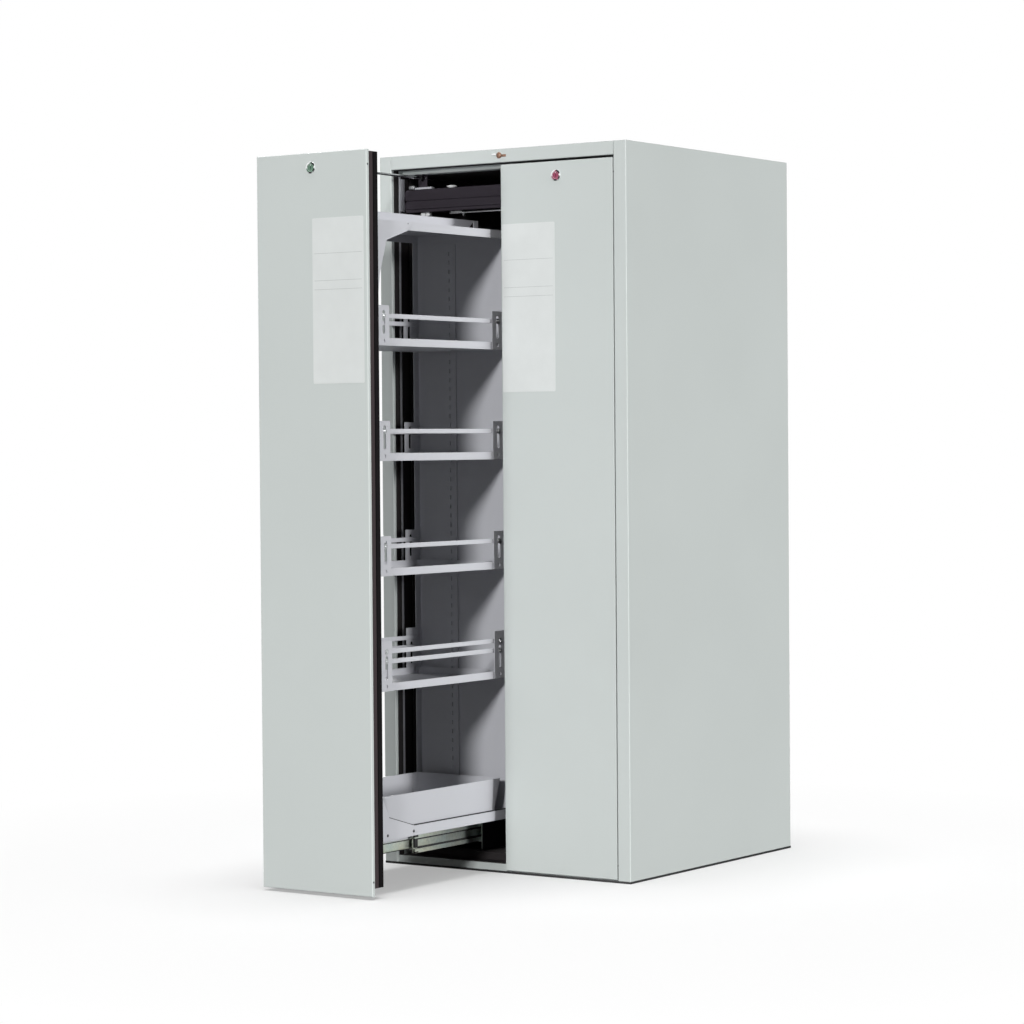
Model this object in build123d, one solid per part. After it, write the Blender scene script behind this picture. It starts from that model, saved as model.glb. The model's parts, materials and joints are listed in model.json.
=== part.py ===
from build123d import *
import os

# Fire-resistant storage cabinet with two tall pull-outs, side by side in one double-walled carcass.
# Millimetres. X runs across the front, +Y to the back, +Z up. The origin is on the floor under the
# middle of the carcass. The left pull-out stands drawn out and the right one is shut.

# Carcass
WIDTH = 810.0
DEPTH = 860.0
HEIGHT = 1966.0
SHEET = 1.5
SHEET_BEND = 2.0
WALL = 39.0
BACK_WALL = 45.0
LINING = 3.0
JAMB_DEPTH = 85.0
REAR_RETURN = 20.0
SIDE_LIFT = 5.0
SEAM = 0.5
ROOF_FLANGE = 25.0
BASE_FLANGE = 30.0
FASCIA_HEIGHT = 36.5
SOFFIT_DEPTH = 52.0
SOFFIT_STEP = 11.5
SILL_SETBACK = 12.0
SILL_HEIGHT = 23.0
SILL_DEPTH = 50.0
SILL_RETURN = 20.0
FLOOR_HEIGHT = 45.0

# Seals in the mouth of the carcass
SEAL_THICKNESS = 1.5
OUTER_SEAL = (11.5, 32.5)
INNER_SEAL = (42.5, 82.0)
SILL_SEAL_SETBACK = 3.0

# Exhaust connection on the roof
SPIGOT_RADIUS = 37.5
SPIGOT_WALL = 1.5
SPIGOT_RISE = 40.0
SPIGOT_FLANGE = 55.0
SPIGOT_FLANGE_THICKNESS = 2.0
SPIGOT_TO_BACK = 130.0
SPIGOT_HOLE_GAP = 0.5
DAMPER_DEPTH = 20.0
DAMPER_THICKNESS = 12.0

# Levelling feet, screwed right in
FOOT_RADIUS = 18.0
FOOT_THICKNESS = 4.0
FOOT_GAP = 0.5
FOOT_STUD_RADIUS = 5.0
FOOT_STUD_LENGTH = 26.0
FOOT_INSET_X = 70.0
FOOT_INSET_Y = 100.0

# Doors
CENTRE_GAP = 7.0
DOOR_SIDE_GAP = 2.5
DOOR_TOP_GAP = 6.5
DOOR_FLOOR_GAP = 8.0
DOOR_SHEET = 1.2
DOOR_EDGE_RADIUS = 2.0
PAN_DEPTH = 10.0
PAN_LIP = 22.0
EDGE_DEPTH = 38.0
EDGE_WIDTH = 14.0
EDGE_INSET = 1.0
EDGE_TOP_INSET = 4.0
EDGE_SILL_GAP = 6.0
EDGE_GROOVE = 3.0
REBATE_DEPTH = 10.5
REBATE_INSET = 15.0
REBATE_TOP_INSET = 6.0
BACK_FLANGE_INSET = 1.5

# Lock in each door
LOCK_TO_DOOR_TOP = 38.0
LOCK_ROSE_RADIUS = 15.0
LOCK_ROSE_RISE = 2.0
LOCK_BARREL_RADIUS = 12.0
LOCK_BARREL_LENGTH = 34.0
LOCK_PLUG_RADIUS = 9.0
LOCK_PLUG_RECESS = 0.6
LOCK_RUNNING_GAP = 0.08
LOCK_POCKET_GAP = 0.5
LOCK_KEYWAY = (2.0, 9.0, 3.0)
LOCK_CAM_REACH = 17.0
LOCK_CAM_WIDTH = 9.0
LOCK_CAM_THICKNESS = 3.0
LOCK_CAM_GAP = 1.0

# Frame of a pull-out
LEFT_SHORT_OF_STOP = 30.0
FRAME_SIDE_INSET = 11.5
FRAME_REAR_ROOM = 144.0
FRAME_SHEET = 2.0
FRAME_BEND = 3.0
UPRIGHT_FLANGE = 25.0
HEAD_BELOW_CEILING = 168.0
CARRIER_ABOVE_FLOOR = 96.0
TOP_ARM_REACH = 173.5
TOP_ARM_SLANT = 18.0
TOP_ARM_HEIGHT = 23.0
TOP_ARM_KNEE = (61.5, 52.0)
TOP_ARM_FOOT = (31.5, 140.0)
TOP_ARM_TAPER = 190.0
FOOT_ARM_REACH = 156.5
FOOT_ARM_HEIGHT = 29.0
FOOT_ARM_KNEE = (51.5, 59.0)
FOOT_ARM_TAPER = 110.0
ARM_RADIUS = 12.0
ARM_TIP_RADIUS = 4.0
ARM_CORNER_RADIUS = 2.0
TRAY_SHEET = 1.5
TRAY_CORNER = 3.0
HEAD_TRAY_HEIGHT = 22.0
HEAD_CHANNEL_WIDTH = 40.0
HEAD_CHANNEL_HEIGHT = 36.0
HEAD_CHANNEL_OVERHANG = 49.0
CHANNEL_NOTCH = (22.0, 58.0)
CHANNEL_NOTCH_INSET = 3.0
CARRIER_RIM = 29.0
BEAM_WIDTH = 60.0
BEAM_DEPTH = 59.0
BEAM_SETBACK = 3.5
BEAM_REAR_SETBACK = 9.0

# Shelves, with their end brackets and guard rails
SHELF_COUNT = 4
SHELF_ABOVE_CARRIER = 387.0
SHELF_HEAD_ROOM = 325.0
SHELF_RIM = 20.0
SHELF_CORNER = 5.0
BRACKET_WIDTH = 48.0
BRACKET_HEIGHT = 104.0
BRACKET_SHEET = 2.0
BRACKET_TONGUE = 8.0
BRACKET_SLOT = (11.0, 62.0)
BRACKET_SLOT_FOOT = 30.0
BRACKET_HOLE_RADIUS = 5.0
BRACKET_HOLE_FOOT = 12.0
RAIL_HEIGHT = 12.0
RAIL_SHEET = 3.0
RAIL_RADIUS = 1.0
RAIL_ABOVE_RIM = 57.0
EXTRA_RAIL_RISE = 26.0

# Slotted strip on the rear panel
STRIP_WIDTH = 43.0
STRIP_THICKNESS = 3.0
STRIP_OFFSET = 43.0
STRIP_END_GAP = 30.0
STRIP_SLOT = (5.0, 12.0)
STRIP_SLOT_OFFSET = -2.0
STRIP_PITCH = 25.0

# Sump tray in the bottom carrier
SUMP_HEIGHT = 111.5
SUMP_SIDE_GAP = 3.0
SUMP_END_GAP = 35.5
SUMP_SIDE_SLANT = 6.0
SUMP_END_SLANT = 25.0
SUMP_CORNER = 14.0
SUMP_WALL = 2.0

# Telescopic slides under the carrier, two to a pull-out
SLIDE_HEIGHT = 52.0
SLIDE_SHEET = 2.0
SLIDE_BEND = 3.0
SLIDE_GAP = 0.5
SLIDE_SIDE_GAP = 2.0
INNER_RAIL_HEIGHT = 26.0
INNER_RAIL_WIDTH = 11.0
MIDDLE_RAIL_HEIGHT = 50.0
MIDDLE_RAIL_REACH = 10.0
MIDDLE_RAIL_LIP = 11.0
OUTER_RAIL_LIP = 9.0
SLIDE_SETBACK = 72.0
SLIDE_REAR_ROOM = 125.0
SLIDE_OVERTRAVEL = 2.0
MIDDLE_RAIL_SETBACK = 62.0
MIDDLE_RAIL_REAR_SETBACK = 30.0
CONSOLE_RISE = 80.0

# Guide rods and closer housings under the ceiling
ROD_RADIUS = 3.5
ROD_SPARE = 3.0
ROD_TO_JAMB = 52.0
ROD_BELOW_CEILING = 9.0
ROD_RUNNING_GAP = 0.08
BUSH_RADIUS = 7.0
BUSH_LENGTH = 24.0
BRACKET_PLATE = 30.0
BRACKET_PLATE_SHEET = 2.0
BRACKET_PLATE_BEND = 3.0
CLOSER_GAP = 1.5
CLOSER_DEPTH = 40.0
CLOSER_BAR = 31.5
CLOSER_BELOW_CEILING = 41.0
CLOSER_END_GAP = 2.0
CLOSER_END_RADIUS = 9.0
CLOSER_EDGE_RADIUS = 3.0
CLOSER_STEP = (3.5, 9.0)

# Places worked out from the sizes above
FRONT = -DEPTH / 2
BACK = DEPTH / 2
OUTER_X = WIDTH / 2
OPENING_X = OUTER_X - WALL
CAVITY_X = OUTER_X - SHEET
PAN_X = CAVITY_X - SEAM
BOARD_X = PAN_X - SHEET
BACK_SHEET_Y = BACK - SHEET
BACK_LINING_Y = BACK - BACK_WALL
BACK_BOARD_Y = BACK_LINING_Y + LINING
JAMB_Y = FRONT + JAMB_DEPTH
ROOF_Z = HEIGHT - SHEET
SOFFIT_Z = HEIGHT - FASCIA_HEIGHT
CEILING_Z = SOFFIT_Z - SOFFIT_STEP
FLOOR_Z = FLOOR_HEIGHT
FLOOR_BOARD_Z = FLOOR_Z - LINING
FLOOR_Y = FRONT + SILL_SETBACK + SILL_DEPTH

DOOR_X = (CENTRE_GAP / 2, OPENING_X - DOOR_SIDE_GAP)
DOOR_Z = (DOOR_FLOOR_GAP, SOFFIT_Z - DOOR_TOP_GAP)
PAN_Y = FRONT + PAN_DEPTH
EDGE_Y = PAN_Y + EDGE_DEPTH
DOOR_BACK_Y = EDGE_Y + REBATE_DEPTH
EDGE_X = (DOOR_X[0] + EDGE_INSET, DOOR_X[1] - EDGE_INSET)
EDGE_Z = (SILL_HEIGHT + EDGE_SILL_GAP, DOOR_Z[1] - EDGE_TOP_INSET)
REBATE_X = (EDGE_X[0] + REBATE_INSET, EDGE_X[1] - REBATE_INSET)
REBATE_Z = (EDGE_Z[0] + REBATE_INSET, EDGE_Z[1] - REBATE_TOP_INSET)
PULLOUT_X = sum(DOOR_X) / 2
LOCK_Z = DOOR_Z[1] - LOCK_TO_DOOR_TOP
CAM_Y = FRONT + LOCK_BARREL_LENGTH + LOCK_CAM_GAP

FRAME_Y = (DOOR_BACK_Y, BACK_LINING_Y - FRAME_REAR_ROOM)
FRAME_X = (REBATE_X[0] + FRAME_SIDE_INSET, REBATE_X[1] - FRAME_SIDE_INSET)
FRAME_Z = (FLOOR_Z + CARRIER_ABOVE_FLOOR, CEILING_Z - HEAD_BELOW_CEILING)
INSIDE_X = (FRAME_X[0] + FRAME_SHEET, FRAME_X[1] - FRAME_SHEET)
INSIDE_Y = (FRAME_Y[0] + FRAME_SHEET, FRAME_Y[1] - FRAME_SHEET)
SHELF_X = (INSIDE_X[0] + BRACKET_SHEET, INSIDE_X[1] - BRACKET_SHEET)
SHELF_Y = (FRAME_Y[0] + UPRIGHT_FLANGE, FRAME_Y[1] - UPRIGHT_FLANGE)
SHELF_Z = (FRAME_Z[0] + SHELF_ABOVE_CARRIER, FRAME_Z[1] - SHELF_HEAD_ROOM)
SLIDE_Z = FLOOR_Z + SLIDE_HEIGHT
SLIDE_Y = (FRONT + SLIDE_SETBACK, BACK_LINING_Y - SLIDE_REAR_ROOM)
MIDDLE_RAIL_Y = (FRONT + MIDDLE_RAIL_SETBACK, SLIDE_Y[1] - MIDDLE_RAIL_REAR_SETBACK)
BEAM_Y = (FRAME_Y[0] + BEAM_SETBACK, FRAME_Y[1] - BEAM_REAR_SETBACK)
PULLOUT_TRAVEL = SLIDE_Y[1] - SLIDE_Y[0] + SLIDE_OVERTRAVEL
LEFT_DRAWN_OUT = PULLOUT_TRAVEL - LEFT_SHORT_OF_STOP
BEAM_U = BEAM_WIDTH / 2
MIDDLE_U = BEAM_U + INNER_RAIL_WIDTH + SLIDE_SIDE_GAP
OUTER_U = MIDDLE_U + SLIDE_SHEET + MIDDLE_RAIL_REACH
ROD_X = OPENING_X - ROD_TO_JAMB
ROD_Z = CEILING_Z - ROD_BELOW_CEILING
CLOSER_Y = DOOR_BACK_Y + CLOSER_GAP
CLOSER_TOP_Z = CEILING_Z - CLOSER_BELOW_CEILING
BUSH_Y = (CLOSER_Y + (CLOSER_DEPTH - BUSH_LENGTH) / 2, CLOSER_Y + (CLOSER_DEPTH + BUSH_LENGTH) / 2)
SPIGOT_Y = BACK - SPIGOT_TO_BACK
BOARD_TOP_Z = SOFFIT_Z + SHEET


def block(x, y, z):
    """Box between two limits on each axis."""
    size = [high - low for low, high in (x, y, z)]
    return Pos(x[0], y[0], z[0]) * Box(*size, align=(Align.MIN, Align.MIN, Align.MIN))


def grown(limits, amount):
    """Pair of limits moved apart by an amount at each end."""
    return (limits[0] - amount, limits[1] + amount)


def span(start, length):
    """Pair of limits from a start and a length."""
    return (start, start + length)


def rod(radius, x, z, y):
    """Cylinder along Y between two limits."""
    return Pos(x, sum(y) / 2, z) * Rot(90, 0, 0) * Cylinder(radius, y[1] - y[0])


def folded(points, thickness, bend):
    """Cross-section of a sheet folded along a line of points, on the left of that line."""
    spine = FilletPolyline(*points, radius=bend)
    return make_face(offset(spine, amount=thickness, side=Side.LEFT))


def along_x(face, x):
    """Solid from a cross-section drawn in Y and Z, between two X limits."""
    return Pos(x[0], 0, 0) * extrude(Plane.YZ * face, amount=x[1] - x[0])


def along_y(face, y):
    """Solid from a cross-section drawn in X and Z, between two Y limits."""
    return Pos(0, y[0], 0) * extrude(Plane.XZ * face, amount=y[0] - y[1])


def along_z(face, z):
    """Solid from a cross-section drawn in X and Y, between two Z limits."""
    return Pos(0, 0, z[0]) * extrude(face, amount=z[1] - z[0])


def mirrored(shape):
    """The same piece on the other side of the cabinet."""
    return mirror(shape, about=Plane.YZ)


def both_sides(shape):
    """A piece and its twin on the other side of the cabinet."""
    return [shape, mirrored(shape)]


def side_panel():
    """Right outer side: one sheet folded into the side, the stile and the jamb, with a rear return."""
    line = [
        (OUTER_X - REAR_RETURN, BACK),
        (OUTER_X, BACK),
        (OUTER_X, FRONT),
        (OPENING_X, FRONT),
        (OPENING_X, JAMB_Y),
    ]
    sheet = along_z(folded(line[::-1], SHEET, SHEET_BEND), (SIDE_LIFT, HEIGHT))
    notch = block(
        (OPENING_X - SEAM, CAVITY_X),
        (FRONT + SHEET, JAMB_Y + SEAM),
        (HEIGHT - ROOF_FLANGE - SEAM, HEIGHT + SEAM),
    )
    return sheet - notch


def back_panel():
    """Flat sheet between the rear returns of the two sides."""
    half = OUTER_X - REAR_RETURN - SEAM
    return block((-half, half), (BACK_SHEET_Y, BACK), (SIDE_LIFT, HEIGHT))


def spigot_hole(z):
    """Cut for the exhaust spigot through what lies under it."""
    cut = Cylinder(SPIGOT_RADIUS + SPIGOT_HOLE_GAP, z[1] - z[0])
    return Pos(0, SPIGOT_Y, sum(z) / 2) * cut


def roof_panel():
    """Shallow pan that lies between the sides, its edges turned down."""
    y = (FRONT + SHEET, BACK_SHEET_Y)
    pan = block((-PAN_X, PAN_X), y, (HEIGHT - ROOF_FLANGE, HEIGHT))
    hollow = block(
        (-BOARD_X, BOARD_X),
        grown(y, -SHEET),
        (HEIGHT - ROOF_FLANGE, ROOF_Z),
    )
    return pan - hollow - spigot_hole((ROOF_Z, HEIGHT))


def base_pan():
    """Floor pan with the stepped sill that the doors close over, standing on the floor."""
    sill_y = FRONT + SILL_SETBACK
    line = [
        (FLOOR_Y + SILL_RETURN, FLOOR_BOARD_Z),
        (FLOOR_Y, FLOOR_BOARD_Z),
        (FLOOR_Y, SILL_HEIGHT),
        (sill_y, SILL_HEIGHT),
        (sill_y, 0),
        (BACK_SHEET_Y, 0),
    ]
    bends = [SHEET_BEND, 0, SHEET_BEND, SHEET_BEND]
    sill = along_x(folded(line, SHEET, bends), (SEAM - OPENING_X, OPENING_X - SEAM))
    pan = block((-PAN_X, PAN_X), (JAMB_Y, BACK_SHEET_Y), (0, BASE_FLANGE))
    hollow = block((-BOARD_X, BOARD_X), (JAMB_Y, BACK_SHEET_Y - SHEET), (SHEET, BASE_FLANGE))
    holes = [Pos(x, y, 0) * Cylinder(FOOT_RADIUS + FOOT_GAP, 4 * SHEET) for x, y in foot_places()]
    return sill + (pan - hollow) - holes


def top_fascia():
    """Strip over the doors, turned back into the stepped soffit."""
    line = [
        (FRONT, HEIGHT),
        (FRONT, SOFFIT_Z),
        (FRONT + SOFFIT_DEPTH, SOFFIT_Z),
        (FRONT + SOFFIT_DEPTH, CEILING_Z),
        (JAMB_Y, CEILING_Z),
    ]
    bends = [SHEET_BEND, 0, SHEET_BEND]
    return along_x(folded(line, SHEET, bends), (SEAM - OPENING_X, OPENING_X - SEAM))


def fire_boards():
    """Insulating boards between the outer sheets and the linings."""
    side = block((OPENING_X + LINING, BOARD_X), (FRONT + 2 * SHEET, BACK_SHEET_Y - SHEET), (SHEET, ROOF_Z))
    back = block((-OPENING_X, OPENING_X), (BACK_BOARD_Y, BACK_SHEET_Y - SHEET), (SHEET, ROOF_Z))
    roof = block((-OPENING_X, OPENING_X), (FRONT + 2 * SHEET, BACK_BOARD_Y), (BOARD_TOP_Z, ROOF_Z))
    floor_y = (FLOOR_Y + 2 * SHEET, BACK_BOARD_Y)
    floor = block((-OPENING_X, OPENING_X), floor_y, (SHEET, FLOOR_BOARD_Z - SHEET))
    pocket_radius = FOOT_RADIUS + FOOT_GAP
    pockets = [Pos(x, y, 0) * Cylinder(pocket_radius, 2 * FLOOR_BOARD_Z) for x, y in foot_places()]
    return both_sides(side) + [back, roof - spigot_hole((BOARD_TOP_Z, ROOF_Z)), floor - pockets]


def wall_linings():
    """Coated boards that line the sides, the back and the ceiling."""
    z = (FLOOR_Z, CEILING_Z)
    outer_x = OPENING_X + LINING
    side = block((OPENING_X, outer_x), (JAMB_Y, BACK_LINING_Y), z)
    back = block((-outer_x, outer_x), (BACK_LINING_Y, BACK_BOARD_Y), z)
    ceiling = block((-outer_x, outer_x), (JAMB_Y, BACK_BOARD_Y), span(CEILING_Z, LINING))
    return both_sides(side) + [back, ceiling - spigot_hole(span(CEILING_Z, LINING))]


def floor_lining():
    """Floor board of the cavity, on which the slide consoles stand."""
    return block((-OPENING_X, OPENING_X), (FLOOR_Y, BACK_LINING_Y), (FLOOR_BOARD_Z, FLOOR_Z))


def frame_seals():
    """Swelling seals on both jambs, in two steps, one under the soffit and two on the sill."""
    x = (OPENING_X - SEAL_THICKNESS, OPENING_X)
    outer_y = [FRONT + depth for depth in OUTER_SEAL]
    inner_y = [FRONT + depth for depth in INNER_SEAL]
    outer = block(x, outer_y, (SILL_HEIGHT, SOFFIT_Z))
    inner = block(x, inner_y, (FLOOR_Z, CEILING_Z))
    across = (-x[0], x[0])
    top = block(across, outer_y, (SOFFIT_Z - SEAL_THICKNESS, SOFFIT_Z))
    riser_y = (FLOOR_Y - SEAL_THICKNESS, FLOOR_Y)
    tread_z = span(SILL_HEIGHT, SEAL_THICKNESS)
    tread = block(across, (FRONT + SILL_SETBACK + SILL_SEAL_SETBACK, riser_y[0]), tread_z)
    riser = block(across, riser_y, (SILL_HEIGHT, FLOOR_Z))
    return both_sides(outer) + both_sides(inner) + [top, tread, riser]


def exhaust_spigot():
    """Round duct through the roof with a mounting flange, its fire damper shut inside it."""
    inner = SPIGOT_RADIUS - SPIGOT_WALL
    top = HEIGHT + SPIGOT_RISE
    damper_top = HEIGHT - DAMPER_DEPTH
    damper_foot = damper_top - DAMPER_THICKNESS
    flange_top = HEIGHT + SPIGOT_FLANGE_THICKNESS
    outline = Polyline(
        (0, damper_top),
        (inner, damper_top),
        (inner, top),
        (SPIGOT_RADIUS, top),
        (SPIGOT_RADIUS, flange_top),
        (SPIGOT_FLANGE, flange_top),
        (SPIGOT_FLANGE, HEIGHT),
        (SPIGOT_RADIUS, HEIGHT),
        (SPIGOT_RADIUS, CEILING_Z),
        (inner, CEILING_Z),
        (inner, damper_foot),
        (0, damper_foot),
        close=True,
    )
    return Pos(0, SPIGOT_Y, 0) * revolve(Plane.XZ * make_face(outline), axis=Axis.Z)


def foot_places():
    """Centres of the four levelling feet."""
    x = OUTER_X - FOOT_INSET_X
    front = FRONT + FOOT_INSET_Y
    back = BACK - FOOT_INSET_Y
    return [(-x, front), (x, front), (-x, back), (x, back)]


def levelling_feet():
    """Foot plates on threaded studs, flush with the base."""
    stud_top = FOOT_THICKNESS + FOOT_STUD_LENGTH
    outline = Polyline(
        (0, 0),
        (FOOT_RADIUS, 0),
        (FOOT_RADIUS, FOOT_THICKNESS),
        (FOOT_STUD_RADIUS, FOOT_THICKNESS),
        (FOOT_STUD_RADIUS, stud_top),
        (0, stud_top),
        close=True,
    )
    foot = revolve(Plane.XZ * make_face(outline), axis=Axis.Z)
    return [Pos(x, y, 0) * foot for x, y in foot_places()]


def closer_housings():
    """Two long housings across the cavity, one over the other, for the springs that shut the pull-outs."""
    length = 2 * (OPENING_X - CLOSER_END_GAP)
    bar = along_y(RectangleRounded(length, CLOSER_BAR, CLOSER_END_RADIUS), span(CLOSER_Y, CLOSER_DEPTH))
    front_edges = bar.faces().sort_by(Axis.Y)[0].edges()
    bar = fillet(front_edges, CLOSER_EDGE_RADIUS)
    upper, lower = [Pos(0, 0, CLOSER_TOP_Z - (index + 0.5) * CLOSER_BAR) * bar for index in range(2)]
    depth, height = CLOSER_STEP
    foot = CLOSER_TOP_Z - 2 * CLOSER_BAR
    step = block((-OPENING_X, OPENING_X), span(CLOSER_Y, depth), span(foot, height))
    return [upper, lower - step]


def guide_bracket():
    """Right bracket under the ceiling that guides the rod and carries the closer housings."""
    x = (ROD_X - BRACKET_PLATE / 2, ROD_X + BRACKET_PLATE / 2)
    middle_y = sum(BUSH_Y) / 2
    line = [(middle_y, CLOSER_TOP_Z), (middle_y, CEILING_Z), (CLOSER_Y, CEILING_Z)]
    plate = along_x(folded(line, BRACKET_PLATE_SHEET, BRACKET_PLATE_BEND), x)
    bush = rod(BUSH_RADIUS, ROD_X, ROD_Z, BUSH_Y)
    bore = rod(ROD_RADIUS + ROD_RUNNING_GAP, ROD_X, ROD_Z, BUSH_Y)
    return plate + bush - bore


def slide_console():
    """Right channel on the floor that holds the two outer rails of a slide pair."""
    half = OUTER_U + 2 * SLIDE_SHEET
    top = FLOOR_Z + CONSOLE_RISE
    line = [(-half, top), (-half, FLOOR_Z), (half, FLOOR_Z), (half, top)]
    face = folded(line, SLIDE_SHEET, SLIDE_BEND)
    return Pos(PULLOUT_X, 0, 0) * along_y(face, SLIDE_Y)


def slide_pair(face, y):
    """A slide member on each side of the beam, from the section of the one on the right of it."""
    member = along_y(face, y)
    pair = [member, mirror(member, about=Plane.YZ)]
    return [Pos(PULLOUT_X, 0, SLIDE_Z) * each for each in pair]


def channel(web_u, half_height, reach):
    """Section of a C-shaped rail: a web from web_u outwards and two flanges that reach away from it."""
    low, high = sorted((web_u, web_u + reach))
    web = Pos(low, -half_height) * Rectangle(high - low, 2 * half_height, align=(Align.MIN, Align.MIN))
    inner_half = half_height - SLIDE_SHEET
    inner_low = low + (SLIDE_SHEET if reach > 0 else 0)
    hollow = Pos(inner_low, -inner_half) * Rectangle(
        high - low - SLIDE_SHEET, 2 * inner_half, align=(Align.MIN, Align.MIN)
    )
    return web - hollow


def outer_rails():
    """Outer rails of the right slide pair, screwed to the console."""
    half_height = MIDDLE_RAIL_HEIGHT / 2 + SLIDE_GAP + SLIDE_SHEET
    face = channel(OUTER_U + SLIDE_SHEET, half_height, -(SLIDE_SHEET + OUTER_RAIL_LIP))
    return slide_pair(face, SLIDE_Y)


def middle_rails():
    """Middle rails of the right slide pair, lipped on the outside, which go half as far as the pull-out."""
    outward = channel(MIDDLE_U, MIDDLE_RAIL_HEIGHT / 2, SLIDE_SHEET + MIDDLE_RAIL_REACH - SLIDE_SIDE_GAP)
    mouth_u = OUTER_U - SLIDE_SIDE_GAP
    for side in (1, -1):
        middle = side * (MIDDLE_RAIL_HEIGHT - MIDDLE_RAIL_LIP) / 2
        outward += Pos(mouth_u - SLIDE_SHEET / 2, middle) * Rectangle(SLIDE_SHEET, MIDDLE_RAIL_LIP)
    inner_half = INNER_RAIL_HEIGHT / 2 + SLIDE_GAP + SLIDE_SHEET
    inward = channel(MIDDLE_U + SLIDE_SHEET, inner_half, -(SLIDE_SHEET + MIDDLE_RAIL_REACH))
    return slide_pair(outward + inward, MIDDLE_RAIL_Y)


def inner_rails():
    """Inner rails of the right slide pair, on the beam of the bottom carrier."""
    face = channel(BEAM_U, INNER_RAIL_HEIGHT / 2, INNER_RAIL_WIDTH)
    return slide_pair(face, BEAM_Y)


def door_skin():
    """Front sheet of a door: a pan with its edges folded back and a lip folded inwards."""
    y = (FRONT, PAN_Y)
    pan = block(DOOR_X, y, DOOR_Z)
    pan = fillet(pan.faces().sort_by(Axis.Y)[0].edges(), DOOR_EDGE_RADIUS)
    hollow = block(grown(DOOR_X, -DOOR_SHEET), grown(y, -DOOR_SHEET), grown(DOOR_Z, -DOOR_SHEET))
    mouth = block(grown(DOOR_X, -PAN_LIP), (PAN_Y - DOOR_SHEET, PAN_Y), grown(DOOR_Z, -PAN_LIP))
    hole = rod(LOCK_BARREL_RADIUS + LOCK_POCKET_GAP, PULLOUT_X, LOCK_Z, (FRONT, PAN_Y))
    return pan - hollow - mouth - hole


def door_core():
    """Fire board inside a door, stepped to fill the pan, the edge seal and the back sheet."""
    pan_y = (FRONT + DOOR_SHEET, PAN_Y - DOOR_SHEET)
    in_pan = block(grown(DOOR_X, -DOOR_SHEET), pan_y, grown(DOOR_Z, -DOOR_SHEET))
    in_mouth = block(grown(DOOR_X, -PAN_LIP), (pan_y[1], PAN_Y), grown(DOOR_Z, -PAN_LIP))
    in_edge = block(grown(EDGE_X, -EDGE_WIDTH), (PAN_Y, EDGE_Y), grown(EDGE_Z, -EDGE_WIDTH))
    in_back = block(
        grown(REBATE_X, -DOOR_SHEET),
        (EDGE_Y, DOOR_BACK_Y - DOOR_SHEET),
        grown(REBATE_Z, -DOOR_SHEET),
    )
    barrel_y = (FRONT, CAM_Y)
    cam_y = (CAM_Y - LOCK_CAM_GAP, CAM_Y + LOCK_CAM_THICKNESS + LOCK_CAM_GAP)
    barrel = rod(LOCK_BARREL_RADIUS + LOCK_POCKET_GAP, PULLOUT_X, LOCK_Z, barrel_y)
    cam = rod(LOCK_CAM_REACH + LOCK_CAM_GAP, PULLOUT_X, LOCK_Z, cam_y)
    return in_pan + in_mouth + in_edge + in_back - barrel - cam


def door_edge_seal():
    """Dark frame round the edge of a door, in two bands with a groove between them."""
    y = (PAN_Y, EDGE_Y)
    ring = block(EDGE_X, y, EDGE_Z) - block(grown(EDGE_X, -EDGE_WIDTH), y, grown(EDGE_Z, -EDGE_WIDTH))
    middle = sum(y) / 2
    groove_y = (middle - EDGE_GROOVE / 2, middle + EDGE_GROOVE / 2)
    groove_floor = block(grown(EDGE_X, -EDGE_GROOVE), groove_y, grown(EDGE_Z, -EDGE_GROOVE))
    return ring - (block(EDGE_X, groove_y, EDGE_Z) - groove_floor)


def door_back_sheet():
    """Back sheet of a door: a tray that stands back from the edge, with a flange over the seal."""
    flange = block(
        grown(EDGE_X, -BACK_FLANGE_INSET),
        span(EDGE_Y, DOOR_SHEET),
        grown(EDGE_Z, -BACK_FLANGE_INSET),
    )
    recess = block(REBATE_X, (EDGE_Y, DOOR_BACK_Y), REBATE_Z)
    hollow = block(
        grown(REBATE_X, -DOOR_SHEET),
        (EDGE_Y, DOOR_BACK_Y - DOOR_SHEET),
        grown(REBATE_Z, -DOOR_SHEET),
    )
    return flange + recess - hollow


def lock_housing():
    """Round lock body with a rose on the face of the door."""
    rose = rod(LOCK_ROSE_RADIUS, PULLOUT_X, LOCK_Z, (FRONT - LOCK_ROSE_RISE, FRONT))
    rose = chamfer(rose.faces().sort_by(Axis.Y)[0].edges(), LOCK_ROSE_RISE / 2)
    barrel = rod(LOCK_BARREL_RADIUS, PULLOUT_X, LOCK_Z, (FRONT, FRONT + LOCK_BARREL_LENGTH))
    bore_y = (FRONT - LOCK_ROSE_RISE, FRONT + LOCK_BARREL_LENGTH)
    return rose + barrel - rod(LOCK_PLUG_RADIUS + LOCK_RUNNING_GAP, PULLOUT_X, LOCK_Z, bore_y)


def lock_cylinder():
    """Plug that turns in the lock, with its keyway in front and its cam behind."""
    face_y = FRONT - LOCK_ROSE_RISE + LOCK_PLUG_RECESS
    plug = rod(LOCK_PLUG_RADIUS, PULLOUT_X, LOCK_Z, (face_y, CAM_Y + LOCK_CAM_THICKNESS))
    width, height, depth = LOCK_KEYWAY
    keyway = block(
        (PULLOUT_X - width / 2, PULLOUT_X + width / 2),
        span(face_y, depth),
        (LOCK_Z - height / 2, LOCK_Z + height / 2),
    )
    arm_face = SlotCenterPoint((0, 0), (LOCK_CAM_REACH / 2 - LOCK_CAM_WIDTH / 4, 0), LOCK_CAM_WIDTH)
    cam = Pos(PULLOUT_X, 0, LOCK_Z) * along_y(arm_face, span(CAM_Y, LOCK_CAM_THICKNESS))
    return plug - keyway + cam


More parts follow.
